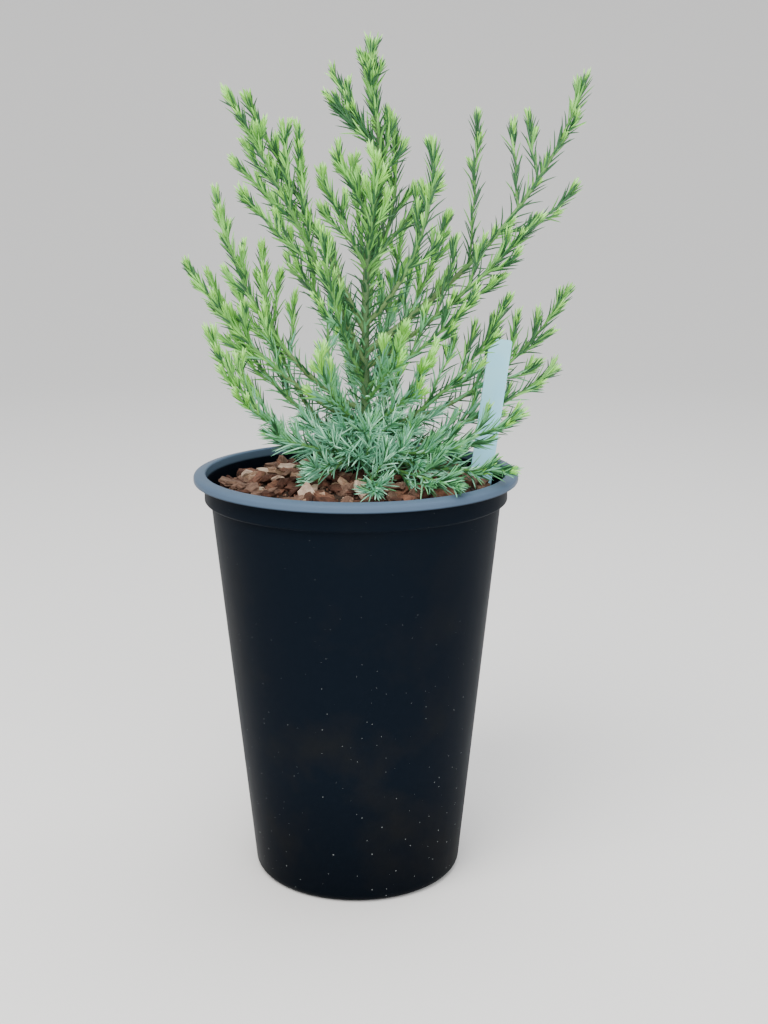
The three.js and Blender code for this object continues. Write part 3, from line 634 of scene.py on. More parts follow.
class Foliage:
    """Gathers needles by kind."""

    def __init__(self, tree, rng):
        self.tree = tree
        self.rng = rng
        self.rows = []

    def cover(self, curve, order, owner, radii, start, spray):
        """Needles in a spiral along a shoot, brushed together at its tip and spreading on old wood."""
        rng = self.rng
        make = ORDERS[order]
        to_tip = needle_places(curve.length - start, make.brush, make.gap * spray.gap)
        count = len(to_tip)
        index = np.interp(curve.length - to_tip, curve.arcs, np.arange(len(curve.arcs)))
        low = np.minimum(index.astype(int), len(curve.arcs) - 2)
        mix = (index - low)[:, None]

        def between(rows):
            return rows[low] * (1 - mix) + rows[low + 1] * mix

        base = between(curve.points)
        heading = unit(between(curve.headings))
        across = unit(between(curve.across))
        radius = between(radii[:, None])
        roll = GOLDEN_TURN * np.arange(count) + rng.uniform(0, 2 * math.pi)
        roll = roll + rng.normal(0, NEEDLE.turn_jitter, count)
        out = across * np.cos(roll)[:, None] + np.cross(heading, across) * np.sin(roll)[:, None]

        lowness = np.clip(depth_in_crown(base) + spray.tone - NEEDLE.low_from, 0, 1)
        opened = smooth(to_tip / make.brush)
        old = smooth((to_tip - NEEDLE.old_from) / NEEDLE.old_over)
        lean = NEEDLE.tip_lean + (make.lean - NEEDLE.tip_lean + NEEDLE.low_lean * lowness) * opened
        steady = NEEDLE.brush_jitter + (1 - NEEDLE.brush_jitter) * opened
        lean = lean + NEEDLE.old_lean * old + rng.normal(0, NEEDLE.lean_jitter, count) * steady
        lean = np.radians(lean)[:, None]
        aim = heading * np.cos(lean) + out * np.sin(lean)
        stray = rng.normal(0, NEEDLE.aim_jitter, (count, 3))
        aim = unit(aim + UP * (NEEDLE.lift * opened)[:, None] + stray)
        grown = NEEDLE.tip_share + (1 - NEEDLE.tip_share) * smooth(to_tip / NEEDLE.grow_at)
        length = make.length * spray.reach * grown * (1 + NEEDLE.low_growth * lowness)
        length = (length * rng.uniform(*NEEDLE.length_jitter, count))[:, None]
        tip = base + out * radius + aim * length
        seat = base + out * radius * NEEDLE.sunk - heading * NEEDLE.heel
        forward = unit(heading * NEEDLE.forward + aim)
        middle = base + out * (radius + NEEDLE.shoulder) + forward * length * NEEDLE.straight
        side = unit(np.cross(heading, out))
        width = make.width * (NEEDLE.brush_width + NEEDLE.width_gain * opened)
        width = width * rng.uniform(*NEEDLE.width_jitter, count)
        kind = self.kinds(base, to_tip, spray)
        keep = self.has_room(seat, tip, owner)
        self.rows.append(Sizes(
            seat=seat[keep], middle=middle[keep], tip=tip[keep], side=side[keep], width=width[keep],
            kind=kind[keep],
        ))

    def has_room(self, seat, tip, owner):
        keep = np.ones(len(tip), bool)
        for share in NEEDLE.probes:
            probe = seat + (tip - seat) * share
            radius = np.hypot(probe[:, 0], probe[:, 1])
            ground = mound_height(radius) + NEEDLE.ground_margin
            keep &= ~((radius < POT.mouth_radius) & (probe[:, 2] < ground))
            keep &= clear_of_rim_and_label(probe, NEEDLE.probe_margin)
            keep &= clear_of_trunk(probe, NEEDLE.probe_margin)
        for i in np.nonzero(keep)[0]:
            _, index, distance = self.tree.tree.find(tip[i])
            if distance < NEEDLE.rival_margin and self.tree.owners[index] != owner:
                keep[i] = False
        return keep

    def kinds(self, base, to_tip, spray):
        """The tint of each needle, from where its shoot stands and how near the tip it is."""
        count = len(base)
        depth = depth_in_crown(base) + spray.tone + self.rng.normal(0, TINTING.blue_jitter, count)
        shade = TINTING.shade * smooth((to_tip - TINTING.shade_from) / TINTING.shade_over)
        light = spray.light + self.rng.normal(0, TINTING.light_jitter, count) - shade
        light = light + TINTING.blue_light * np.clip(depth, 0, 1)
        loss = TINTING.tender_loss * np.clip(depth - TINTING.tender_to, 0, 1)
        tender = spray.tender + self.rng.normal(0, TINTING.tender_jitter, count) - loss
        blue = depth > TINTING.blue
        bluest = depth > TINTING.bluest
        choices = (
            (to_tip < TINTING.tip_share * tender, "tip"),
            (to_tip < tender, "fresh"),
            (bluest & (light > 0.8), "pale"),
            (bluest & (light > -0.7), "glaucous"),
            (blue & (light > 0.9), "glaucous"),
            (blue & (light > -0.8), "sea"),
            (~blue & (light > 0.4), "leaf"),
            (~blue & (light > -0.7), "green"),
        )
        tests = [test for test, _ in choices]
        numbers = [KINDS.index(name) for _, name in choices]
        return np.select(tests, numbers, KINDS.index("deep"))

    def make(self, materials):
        for number, name in enumerate(KINDS):
            part = {
                key: np.concatenate([getattr(row, key)[row.kind == number] for row in self.rows])
                for key in ("seat", "middle", "tip", "side", "width")
            }
            pile = Pile()
            pile.add(*needle_mesh(**part))
            pile.make(f"needles_{name}", materials[name], "foliage", sharp_angle=60)


# Relief in millimetres: the trunk's fissures, deeper over the foot's height, and the ridges of limbs.
BARK = Sizes(fissure=0.14, foot_fissure=0.3, foot_height=22, grain=3.2, stretch=0.22, ridge=0.045)


def trunk_relief(curve, sides):
    """Fissures that run along the trunk, deep at the foot and shallow above."""
    relief = np.zeros((len(curve.points), sides))
    for i, point in enumerate(curve.points):
        rise = point[2] - TRUNK.foot
        depth = BARK.fissure + BARK.foot_fissure * math.exp(-rise / BARK.foot_height)
        for k in range(sides):
            turn = 2 * math.pi * k / sides
            place = Vector((BARK.grain * math.cos(turn), BARK.grain * math.sin(turn), rise * BARK.stretch))
            relief[i, k] = depth * noise.fractal(place, 1.0, 2.0, 3)
    return relief


def limb_relief(curve, sides, phase):
    """Ridges left by needle bases, wound round a limb."""
    turn = np.linspace(0, 2 * math.pi, sides, endpoint=False)[None, :]
    wind = curve.arcs[:, None]
    ridge = np.cos(3 * turn + 1.9 * wind + phase) + 0.6 * np.cos(5 * turn - 2.7 * wind)
    return BARK.ridge * ridge


def new_material(name, colour, roughness, specular, ior=1.5):
    material = bpy.data.materials.new(name)
    material.use_nodes = True
    shader = material.node_tree.nodes["Principled BSDF"]
    shader.inputs["Base Color"].default_value = (*colour, 1)
    shader.inputs["Roughness"].default_value = roughness
    shader.inputs["Specular IOR Level"].default_value = specular
    shader.inputs["IOR"].default_value = ior
    return material


class Nodes:
    """Short names for building a material's node tree."""

    def __init__(self, material):
        self.tree = material.node_tree
        self.shader = self.tree.nodes["Principled BSDF"]

    def add(self, kind, **values):
        node = self.tree.nodes.new(kind)
        for key, value in values.items():
            setattr(node, key, value)
        return node

    def link(self, output, target):
        self.tree.links.new(output, target)

    def place(self, scale=(1, 1, 1)):
        """Object coordinates in metres, stretched by scale."""
        coordinates = self.add("ShaderNodeTexCoord")
        mapping = self.add("ShaderNodeMapping")
        mapping.inputs["Scale"].default_value = scale
        self.link(coordinates.outputs["Object"], mapping.inputs["Vector"])
        return mapping.outputs["Vector"]

    def height(self):
        axes = self.add("ShaderNodeSeparateXYZ")
        self.link(self.place(), axes.inputs["Vector"])
        return axes.outputs["Z"]

    def noise(self, vector, scale, detail=3.0, roughness=0.5):
        node = self.add("ShaderNodeTexNoise")
        node.inputs["Scale"].default_value = scale
        node.inputs["Detail"].default_value = detail
        node.inputs["Roughness"].default_value = roughness
        self.link(vector, node.inputs["Vector"])
        return node.outputs["Fac"]

    def ramp(self, value, stops):
        """A colour ramp. A stop's colour is three numbers, or one for a grey."""
        node = self.add("ShaderNodeValToRGB")
        ramp = node.color_ramp
        while len(ramp.elements) < len(stops):
            ramp.elements.new(0.5)
        for element, (position, colour) in zip(ramp.elements, stops):
            element.position = position
            element.color = (*(colour if isinstance(colour, tuple) else (colour,) * 3), 1)
        self.link(value, node.inputs["Fac"])
        return node.outputs["Color"]

    def math(self, operation, first, second):
        node = self.add("ShaderNodeMath", operation=operation)
        for socket, value in zip(node.inputs, (first, second)):
            if isinstance(value, (int, float)):
                socket.default_value = value
            else:
                self.link(value, socket)
        return node.outputs["Value"]

    def blend(self, mode, factor, first, second):
        node = self.add("ShaderNodeMix", data_type="RGBA", blend_type=mode)
        for name, value in (("Factor", factor), ("A", first), ("B", second)):
            socket = [s for s in node.inputs if s.name == name and s.enabled][0]
            if isinstance(value, (int, float)):
                socket.default_value = value
            elif isinstance(value, tuple):
                socket.default_value = (*value, 1)
            else:
                self.link(value, socket)
        return [s for s in node.outputs if s.enabled][0]

    def bump(self, height, strength, distance):
        node = self.add("ShaderNodeBump")
        node.inputs["Strength"].default_value = strength
        node.inputs["Distance"].default_value = distance
        self.link(height, node.inputs["Height"])
        self.link(node.outputs["Normal"], self.shader.inputs["Normal"])


NEEDLE_TINTS = {
    "pale": (0.52, 0.95, 0.68),
    "glaucous": (0.2, 0.5, 0.33),
    "sea": (0.17, 0.48, 0.21),
    "deep": (0.033, 0.125, 0.043),
    "green": (0.14, 0.4, 0.08),
    "leaf": (0.27, 0.68, 0.14),
    "fresh": (0.25, 0.62, 0.09),
    "tip": (0.46, 0.92, 0.24),
}


def needle_materials():
    return {name: new_material(f"needle_{name}", tint, 0.45, 0.4) for name, tint in NEEDLE_TINTS.items()}


def bark_material(name, low, high, turn_at):
    """Brown bark at the foot that turns green above, with fine fissures along the limb."""
    material = new_material(name, high, 0.65, 0.3)
    nodes = Nodes(material)
    mottle = nodes.noise(nodes.place((1, 1, 0.25)), 900, 4)
    rise = nodes.math("SUBTRACT", nodes.height(), TRUNK.foot * MM)
    drift = nodes.math("MULTIPLY", nodes.math("SUBTRACT", mottle, 0.5), turn_at * MM)
    share = nodes.math("DIVIDE", nodes.math("ADD", rise, drift), turn_at * MM)
    tint = nodes.ramp(share, [(0.25, low), (0.9, high)])
    speck = nodes.ramp(nodes.noise(nodes.place(), 1800, 3), [(0.3, 0.6), (0.75, 1.0)])
    nodes.link(nodes.blend("MULTIPLY", 1.0, tint, speck), nodes.shader.inputs["Base Color"])
    nodes.bump(mottle, 0.5, 0.0002)
    return material


def pot_material():
    """Satin plastic, black with a blue cast, with a painted blue-grey sheen on the rim, and smudges and
    specks of dust.
    """
    # The rim colour is a painted sheen: a lighter blue-grey that stands in for the sky's reflection on the
    # rim.
    wall, rim = (0.003, 0.0055, 0.0098), (0.075, 0.112, 0.165)
    haze, dust = (0.0074, 0.0086, 0.0103), (0.24, 0.26, 0.26)
    material = new_material("pot_plastic", wall, 0.4, 0.1, ior=1.2)
    nodes = Nodes(material)
    place = nodes.place()
    height = nodes.height()
    on_rim = nodes.math("DIVIDE", nodes.math("SUBTRACT", height, POT.collar_top * MM), 0.001)
    smear = nodes.noise(nodes.place((1, 1, 0.35)), 26, 4, 0.6)
    rough = nodes.ramp(smear, [(0.3, 0.36), (0.75, 0.5)])
    nodes.link(nodes.blend("MIX", on_rim, rough, (0.3, 0.3, 0.3)), nodes.shader.inputs["Roughness"])
    low_haze = nodes.ramp(height, [(0.08, 1.0), (0.2, 0.25)])
    smudge = nodes.ramp(nodes.noise(place, 22, 4, 0.55), [(0.5, 0.0), (0.7, 1.0)])
    tint = nodes.blend("MIX", nodes.math("MULTIPLY", smudge, low_haze), wall, haze)
    dots = nodes.add("ShaderNodeTexVoronoi")
    dots.inputs["Scale"].default_value = 400
    nodes.link(place, dots.inputs["Vector"])
    size = nodes.add("ShaderNodeSeparateColor")
    nodes.link(dots.outputs["Color"], size.inputs["Color"])
    low_down = nodes.ramp(height, [(0.03, 0.2), (0.19, 0.07)])
    reach = nodes.math("MULTIPLY", nodes.math("SUBTRACT", size.outputs["Red"], 0.4), low_down)
    dot = nodes.math("LESS_THAN", dots.outputs["Distance"], reach)
    foot_shade = nodes.ramp(height, [(0.0, 0.5), (0.07, 1.0)])
    tint = nodes.blend("MULTIPLY", 1.0, tint, foot_shade)
    tint = nodes.blend("MIX", dot, tint, dust)
    # Painted sheen: the rim takes the lighter blue-grey.
    tint = nodes.blend("MIX", on_rim, tint, rim)
    nodes.link(tint, nodes.shader.inputs["Base Color"])
    nodes.bump(nodes.noise(place, 420, 3), 0.05, 0.0002)
    return material


def chip_material(name, colour, dark):
    """Fibrous bark with darker pores."""
    material = new_material(name, colour, 0.85, 0.2)
    nodes = Nodes(material)
    place = nodes.place()
    coarse = nodes.noise(place, 260, 5, 0.65)
    fine = nodes.noise(place, 1500, 3, 0.6)
    tint = nodes.ramp(coarse, [(0.3, dark), (0.62, colour)])
    shade = nodes.ramp(fine, [(0.3, 0.65), (0.7, 1.0)])
    nodes.link(nodes.blend("MULTIPLY", 1.0, tint, shade), nodes.shader.inputs["Base Color"])
    nodes.bump(nodes.math("ADD", coarse, nodes.math("MULTIPLY", fine, 0.5)), 0.6, 0.0006)
    return material


def label_material():
    material = new_material("label_plastic", (0.8, 0.93, 0.97), 0.35, 0.4)
    nodes = Nodes(material)
    tints = [(0.35, (0.36, 0.8, 1.0)), (0.7, (0.44, 0.86, 1.0))]
    mottle = nodes.ramp(nodes.noise(nodes.place(), 60, 4), tints)
    nodes.link(mottle, nodes.shader.inputs["Base Color"])
    nodes.bump(nodes.noise(nodes.place(), 700, 2), 0.05, 0.0002)
    return material


def arc(centre_r, centre_z, radius, start, end, steps):
    angles = np.radians(np.linspace(start, end, steps + 1))
    return [(centre_r + radius * math.cos(a), centre_z + radius * math.sin(a)) for a in angles]


def line(start, end, steps):
    return [
        (start[0] + (end[0] - start[0]) * i / steps, start[1] + (end[1] - start[1]) * i / steps)
        for i in range(1, steps)
    ]


def lathe(profile, segments):
    """A closed body turned about the pot's axis. The profile starts and ends on the axis."""
    body = profile[1:-1]
    turn = np.linspace(0, 2 * math.pi, segments, endpoint=False)
    rings = np.array([[(r * math.cos(t), r * math.sin(t), z) for t in turn] for r, z in body])
    points = np.vstack([rings.reshape(-1, 3), [(0, 0, profile[0][1])], [(0, 0, profile[-1][1])]])
    return points, closed_skin(len(body), segments)


def cut_holes(obj):
    """Round drain holes through the pot's floor."""
    radius, reach = POT.hole_radius, 2 * POT.floor
    for k in range(POT.holes):
        turn = 2 * math.pi * (k + 0.5) / POT.holes
        points, faces = lathe([(0, -reach), (radius, -reach), (radius, reach), (0, reach)], 32)
        place = (POT.hole_circle * math.cos(turn), POT.hole_circle * math.sin(turn), POT.floor / 2)
        drill = mesh_object("drill", points + place, faces)
        cut = obj.modifiers.new("hole", "BOOLEAN")
        cut.operation = "DIFFERENCE"
        cut.object = drill
        graph = bpy.context.evaluated_depsgraph_get()
        holed = bpy.data.meshes.new_from_object(obj.evaluated_get(graph))
        obj.modifiers.clear()
        obj.data = holed
        bpy.data.objects.remove(drill)


def make_pot():
    """The pot turned from its profile: up the outside, over the rim and down the inside."""
    p, r = POT, ROUND
    inner = p.wall_top_radius - p.wall
    profile = [
        (0, 0),
        *arc(p.base_radius - p.edge_radius, p.edge_radius, p.edge_radius, -90, -4, 8),
        *line((p.base_radius, p.edge_radius), (p.wall_top_radius, p.collar_foot - 2.2), 14),
        (p.wall_top_radius, p.collar_foot - 1.6),
        *arc(p.wall_top_radius + r.hollow, p.collar_foot - 1.2, r.hollow, 180, 96, 5),
        *arc(p.collar_radius - r.shoulder, p.collar_foot + 1.5, r.shoulder, -80, 0, 5),
        *line((p.collar_radius, p.collar_foot + 1.5), (p.collar_radius, p.collar_top - r.under_rim), 4),
        *arc(p.collar_radius + r.under_rim, p.collar_top - r.under_rim, r.under_rim, 180, 90, 3),
        *arc(p.rim_radius - 1.0, p.collar_top + r.rim_foot, r.rim_foot, -90, 0, 4),
        *arc(p.rim_radius - 1.9, p.height - 2.4, r.brow, 5, 72, 6),
        *line((p.rim_radius - 1.3, p.height - 0.6), (p.mouth_radius + 1.2, p.height - 0.05), 3),
        *arc(p.mouth_radius + r.mouth, p.height - r.mouth, r.mouth, 90, 180, 4),
        (p.mouth_radius - 0.4, p.collar_top),
        (p.collar_radius - p.wall, p.collar_foot + 3),
        *arc(p.collar_radius - p.wall - r.inside, p.collar_foot + 2.4, r.inside, 0, -80, 4),
        *arc(inner + 0.6, p.collar_foot - 0.6, 1.0, 100, 180, 4),
        *line((inner, p.collar_foot - 1.2), (p.base_radius - p.wall, p.floor + 5), 6),
        *arc(p.base_radius - p.wall - r.floor, p.floor + r.floor, r.floor, -4, -90, 5),
        (0, p.floor),
    ]
    obj = mesh_object("pot_shell", *lathe(profile, p.segments))
    cut_holes(obj)
    dress(obj, pot_material(), sharp_angle=35)
    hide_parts("pot")


def make_compost():
    """The body of the compost, with a rough top that shows between the chips."""
    gap = COMPOST.wall_gap
    low = POT.base_radius - POT.wall - gap
    high = POT.wall_top_radius - POT.wall - gap
    foot = POT.floor + COMPOST.floor_gap
    heel = POT.floor + COMPOST.heel
    side = high - 0.4
    top = POT.collar_foot - 3
    rings = np.arange(COMPOST.first_ring, 1, -COMPOST.ring_gap)
    profile = [
        (0, foot),
        (low - 4.5, foot),
        (low - 0.3, heel),
        *line((low, heel), (side, top), 6),
        (side, top),
        (side, COMPOST.edge - COMPOST.skirt),
        *[(r, mound_height(r)) for r in rings],
        (0, COMPOST.crown),
    ]
    points, faces = lathe(profile, COMPOST.segments)
    for i, (x, y, z) in enumerate(points):
        if z > top:
            rough = noise.fractal(Vector((x, y, z)) * COMPOST.grain, 1.0, 2.0, 4)
            points[i, 2] += COMPOST.roughness * rough - COMPOST.settled
    obj = mesh_object("compost_body", points, faces)
    fines = chip_material("compost_fines", (0.04, 0.024, 0.016), (0.012, 0.008, 0.006))
    dress(obj, fines, sharp_angle=50)
    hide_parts("compost")


# A chip's form: its sides and their turn, its reach and breadth as shares of its length, each ring's
# height as a share of its thickness and its size, and its roughness, crown and curl.
CHIP = Sizes(
    sides=(5, 9), turn=(-0.3, 0.3), reach=(0.68, 1.0), breadth=(0.42, 0.85),
    rings=((-0.5, 0.9), (-0.15, 1.0), (0.2, 0.97), (0.5, 0.86)), rough_side=0.025, rough_top=0.1,
    crown=(0.3, 0.65), curl=(-0.5, 0.5), size_bias=1.5,
)


def chip_shape(rng, length, thick):
    """A flake of bark: an angular plate with a steep broken edge and a slight curl."""
    sides = int(rng.integers(*CHIP.sides))
    turn = np.linspace(0, 2 * math.pi, sides, endpoint=False) + rng.uniform(*CHIP.turn, sides)
    radius = rng.uniform(*CHIP.reach, sides) * length / 2
    breadth = rng.uniform(*CHIP.breadth)
    rough = (CHIP.rough_side * length, CHIP.rough_side * length, CHIP.rough_top * thick)
    rings = []
    for level, size in CHIP.rings:
        ring = np.column_stack([
            np.cos(turn) * radius * size,
            np.sin(turn) * radius * size * breadth,
            np.full(sides, level * thick),
        ])
        rings.append(ring + rng.normal(0, 1, (sides, 3)) * rough)
    poles = [(0, 0, -thick / 2), (0, 0, thick * rng.uniform(*CHIP.crown))]
    points = np.vstack([*rings, poles])
    points[:, 2] += rng.uniform(*CHIP.curl) * points[:, 0] ** 2 / length
    return points, closed_skin(len(rings), sides)


def turned(points, tilt, lean_to, spin):
    """Points spun about Z, then tilted towards a compass direction."""
    c, s = math.cos(spin), math.sin(spin)
    spun = points @ np.array([[c, s, 0], [-s, c, 0], [0, 0, 1]])
    axis = np.array([-math.sin(lean_to), math.cos(lean_to), 0])
    cross = np.cross(axis, spun)
    along_axis = (spun @ axis)[:, None] * axis
    return spun * math.cos(tilt) + cross * math.sin(tilt) + along_axis * (1 - math.cos(tilt))


# Tints of bark: the share of the chips, the colour of the flat faces and that of the pores.
CHIP_TINTS = {
    "umber": (0.28, (0.1, 0.043, 0.027), (0.022, 0.01, 0.007)),
    "russet": (0.32, (0.22, 0.1, 0.062), (0.05, 0.022, 0.014)),
    "brown": (0.24, (0.22, 0.13, 0.09), (0.06, 0.03, 0.02)),
    "tan": (0.11, (0.42, 0.28, 0.19), (0.16, 0.085, 0.05)),
    "pale": (0.05, (0.54, 0.41, 0.31), (0.25, 0.15, 0.1)),
}

# Chips in layers from the lowest: length, thickness and height over the mound in millimetres, and
# tilt in degrees.
CHIP_LAYERS = (
    Sizes(count=1500, length=(1.2, 4.2), thick=(0.5, 1.2), height=(-0.4, 1.0), tilt=24),
    Sizes(count=120, length=(13, 25), thick=(2.0, 4.0), height=(0.2, 1.6), tilt=14),
    Sizes(count=120, length=(9, 19), thick=(1.6, 3.4), height=(1.6, 3.6), tilt=20),
)
STEEP_CHIP = Sizes(share=0.25, tilt=(35, 60))
CHIP_GAP = Sizes(trunk=6.5, label=1, wall=2.5)


def scatter_chips():
    rng = np.random.default_rng(SEEDS.chips)
    piles = {name: Pile() for name in CHIP_TINTS}
    shares = [share for share, _, _ in CHIP_TINTS.values()]
    for layer in CHIP_LAYERS:
        for _ in range(layer.count):
            low, high = layer.length
            length = low + (high - low) * rng.uniform() ** CHIP.size_bias
            furthest = POT.mouth_radius - CHIP_GAP.wall - length / 2
            radius = furthest * math.sqrt(rng.uniform())
            turn = rng.uniform(0, 2 * math.pi)
            x, y = radius * math.cos(turn), radius * math.sin(turn)
            by_trunk = math.hypot(x - TRUNK.x, y) < CHIP_GAP.trunk + length / 2
            beside_label = abs(x - LABEL.x) < (LABEL.width + length) / 2
            by_label = beside_label and abs(y - LABEL.y) < length / 2 + CHIP_GAP.label
            if by_trunk or by_label:
                continue
            points, faces = chip_shape(rng, length, rng.uniform(*layer.thick))
            is_steep = rng.uniform() < STEEP_CHIP.share
            tilt = rng.uniform(*STEEP_CHIP.tilt) if is_steep else abs(rng.normal(0, layer.tilt))
            lean_to, spin = rng.uniform(0, 2 * math.pi, 2)
            points = turned(points, math.radians(tilt), lean_to, spin)
            points += (x, y, mound_height(radius) + rng.uniform(*layer.height))
            name = list(piles)[int(rng.choice(len(piles), p=shares))]
            piles[name].add(points, faces)
    for name, pile in piles.items():
        _, colour, dark = CHIP_TINTS[name]
        material = chip_material(f"chip_{name}", colour, dark)
        pile.make(f"bark_chips_{name}", material, "compost", sharp_angle=24)


def make_label():
    """A flat blank strip with eased edges, a pointed foot and small rounded top corners."""
    top, foot, corner, ease = LABEL.above, -LABEL.below, LABEL.corner, LABEL.ease
    heights = np.concatenate([
        np.linspace(foot, foot + LABEL.point, 8),
        np.linspace(foot + LABEL.point + 4, top - corner, 20),
        top - corner + corner * np.sin(np.radians([30, 60, 90])),
    ])
    half = LABEL.width / 2
    thick = LABEL.thickness / 2
    points = []
    for z in heights:
        over = max(0, z - (top - corner)) / corner
        rounding = corner * (1 - math.sqrt(max(0, 1 - over * over)))
        reach = half * min(1, LABEL.toe + (z - foot) / LABEL.point) - rounding
        curl = LABEL.curl * math.sin((z - foot) / LABEL.curl_length)
        edge = [(reach, thick - ease), (reach - ease, thick)]
        outline = [
            *edge,
            *[(-x, y) for x, y in reversed(edge)],
            *[(-x, -y) for x, y in edge],
            *[(x, -y) for x, y in reversed(edge)],
        ]
        points += [(x, y + curl, z) for x, y in outline]
    sides = len(outline)
    last = (len(heights) - 1) * sides
    caps = [[0, k + 1, k] for k in range(1, sides - 1)]
    caps += [[last, last + k, last + k + 1] for k in range(1, sides - 1)]
    slope = math.atan(LABEL.lean)
    c, s = math.cos(slope), math.sin(slope)
    leaning = np.array([[c, 0, -s], [0, 1, 0], [s, 0, c]])
    points = np.array(points) @ leaning + (LABEL.x, LABEL.y, LABEL.z)
    obj = mesh_object("blank_label", points, np.vstack([skin(len(heights), sides), caps]))
    dress(obj, label_material(), sharp_angle=40)
    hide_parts("plant_label")


def rival_tree(claims):
    """A search tree of all stems' and shoots' points, which knows the mass that owns each."""
    owners = np.concatenate([np.full(len(claim), owner) for owner, claim in enumerate(claims)])
    points = np.vstack(claims)
    tree = kdtree.KDTree(len(points))
    for i, point in enumerate(points):
        tree.insert(point, i)
    tree.balance()
    return Sizes(tree=tree, owners=owners)


def spray_of(name, rng):
    """How a mass's needles differ: bluer or greener, lighter or darker, and by its side's style."""
    looks = style_of(name)
    tone = rng.uniform(-TINTING.spray_tone, TINTING.spray_tone)
    light = looks.light + rng.uniform(-TINTING.spray_light, TINTING.spray_light)
    return Sizes(tone=tone, light=light, reach=looks.reach, gap=looks.gap, tender=looks.tender)


def make_plant():
    masses, claims = grow_masses()
    rng = np.random.default_rng(SEEDS.finer)
    finer = grow_finer(masses, claims, rng)
    tufts = grow_tufts(claims, rng)
    foliage = Foliage(rival_tree(claims), np.random.default_rng(SEEDS.needles))
    shape = np.random.default_rng(SEEDS.bark)
    trunk_pile, bough_pile, twig_pile = Pile(), Pile(), Pile()

    rises = np.geomspace(TRUNK.first_rise, TRUNK.top - TRUNK.foot + TRUNK.cap, TRUNK.rings)
    heights = np.concatenate([[0], rises]) + TRUNK.foot
    trunk = curve_through(trunk_centre(heights), CURVE.stem_step, 0, shape)
    radii = trunk_radius(trunk.points[:, 2])
    trunk_pile.add(*tube(trunk, radii, SIDES.trunk, trunk_relief(trunk, SIDES.trunk)))
    trunk_spray = Sizes(tone=-0.1, light=-0.4, reach=1, gap=1, tender=0)
    foliage.cover(trunk, "trunk", NO_MASS, radii, FIRST_NEEDLE.trunk, trunk_spray)

    for owner, mass in enumerate(masses):
        spray = spray_of(mass.row.name, shape)
        is_leader = mass.row is LEADER
        stem_order, shoot_order = ("leader", "leader") if is_leader else ("stem", "side")
        first_needle = FIRST_NEEDLE.leader if is_leader else FIRST_NEEDLE.stem
        stem = curve_through(mass.stem, CURVE.stem_step, 0, shape)
        radii = limb_radius(mass.row, stem.arcs / stem.length)
        bare = int(mass.row.bare * len(stem.arcs))
        if bare:
            limb = part_of(stem, 0, bare + 2)
            relief = limb_relief(limb, SIDES.bough, shape.uniform(0, 6))
            bough_pile.add(*tube(limb, radii[:bare + 2], SIDES.bough, relief))
        twig_pile.add(*tube(part_of(stem, bare, None), radii[bare:], SIDES.stem))
        foliage.cover(stem, stem_order, owner, radii, first_needle, spray)
        for shoot in mass.shoots:
            curve = curve_through(shoot, CURVE.shoot_step, CURVE.shoot_sway, shape)
            radii = shoot_radii(curve, RULE.shoot_radius, RULE.shoot_tip_radius)
            twig_pile.add(*tube(curve, radii, SIDES.shoot))
            foliage.cover(curve, shoot_order, owner, radii, FIRST_NEEDLE.shoot, spray)
        mass.spray = spray

    for order, twigs in (("finer", finer), ("tuft", tufts)):
        for twig in twigs:
            spray = spray_of("tuft", shape) if twig.owner == NO_MASS else masses[twig.owner].spray
            curve = curve_through(twig.path, CURVE.shoot_step, CURVE.twig_sway, shape)
            radii = shoot_radii(curve, FINER.radius, FINER.tip_radius)
            twig_pile.add(*tube(curve, radii, SIDES.twig))
            foliage.cover(curve, order, twig.owner, radii, FIRST_NEEDLE.twig, spray)

    trunk_skin = bark_material("trunk_bark", (0.13, 0.085, 0.05), (0.1, 0.19, 0.075), 26)
    trunk_obj = trunk_pile.make("trunk_bark", trunk_skin, "bark", sharp_angle=60)
    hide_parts("trunk")
    bough_skin = bark_material("bough_bark", (0.12, 0.17, 0.075), (0.15, 0.26, 0.09), 14)
    bough_obj = bough_pile.make("bough_bark", bough_skin, "bark", sharp_angle=60)
    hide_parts(*[f"{row.name}_bough" for row in BOUGHS if row.bare])
    twig_skin = new_material("twig_green", (0.11, 0.27, 0.07), 0.55, 0.3)
    twig_obj = twig_pile.make("twigs", twig_skin, "foliage", sharp_angle=60)
    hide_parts(*[f"{mass.row.name}_foliage" for mass in masses])
    foliage.make(needle_materials())


# The stage: a flat pale floor that sweeps up into a sloping surround, in millimetres and degrees.
STAGE = Sizes(flat=1900, bend=2400, slope=42, rim=5600, top=2900, thick=40, segments=96)

# The point in the plant that the lights face, in metres.
LIT_POINT = Vector((0, 0, 0.28))

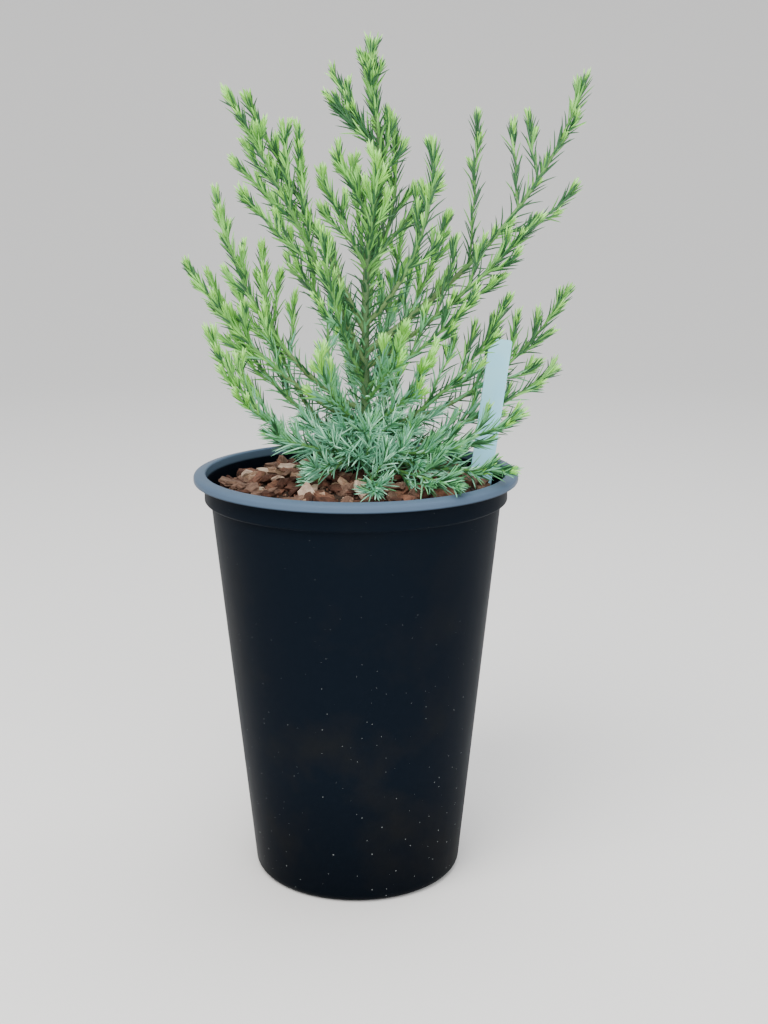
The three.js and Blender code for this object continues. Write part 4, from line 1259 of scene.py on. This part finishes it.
# The photograph's viewpoint: lens and sensor in millimetres, near limit and place in metres, and
# the turns down and aside in degrees.
CAMERA = Sizes(lens=52, sensor=36, near=0.05, place=(0, -0.7616, 0.3739), down=13.09, aside=1.10)


def make_stage():
    """A plain pale floor that sweeps up on all sides, and plain soft studio light."""
    sweep = [
        (0, 0),
        *arc(STAGE.flat, STAGE.bend, STAGE.bend, -90, STAGE.slope - 90, 24),
        (STAGE.rim, STAGE.top),
    ]
    outside = STAGE.rim + STAGE.thick
    back = [(outside, STAGE.top), (outside, -STAGE.thick), (0, -STAGE.thick)]
    floor = mesh_object("floor", *lathe([*sweep, *back], STAGE.segments))
    floor.data.materials.append(new_material("floor_paint", (0.83, 0.815, 0.79), 0.9, 0.1))
    floor.data.shade_smooth()
    floor.data.set_sharp_from_angle(angle=math.radians(40))

    world = bpy.data.worlds.new("surround")
    bpy.context.scene.world = world
    world.use_nodes = True
    background = world.node_tree.nodes["Background"]
    background.inputs["Color"].default_value = (0.94, 0.96, 1.0, 1)
    background.inputs["Strength"].default_value = 1.0

    lights = (
        ("key_light", (-0.5, -0.9, 1.5), 1.2, 32, (1.0, 0.985, 0.96)),
        ("top_light", (0.25, 0.35, 1.7), 1.4, 14, (0.94, 0.97, 1.0)),
        ("fill_light", (0.7, -1.6, 0.75), 1.3, 19, (0.97, 0.98, 1.0)),
    )
    for name, place, size, power, colour in lights:
        light = bpy.data.lights.new(name, "AREA")
        light.shape = "DISK"
        light.size = size
        light.energy = power
        light.color = colour
        obj = bpy.data.objects.new(name, light)
        obj.location = place
        aim = LIT_POINT - obj.location
        obj.rotation_euler = aim.to_track_quat("-Z", "Y").to_euler()
        bpy.context.scene.collection.objects.link(obj)


def make_camera():
    camera = bpy.data.cameras.new("camera")
    camera.lens = CAMERA.lens
    camera.sensor_width = CAMERA.sensor
    camera.clip_start = CAMERA.near
    obj = bpy.data.objects.new("camera", camera)
    obj.location = CAMERA.place
    obj.rotation_euler = (math.radians(90 - CAMERA.down), 0, math.radians(-CAMERA.aside))
    bpy.context.scene.collection.objects.link(obj)
    bpy.context.scene.camera = obj


make_camera()
make_stage()
make_pot()
make_compost()
scatter_chips()
make_label()
make_plant()
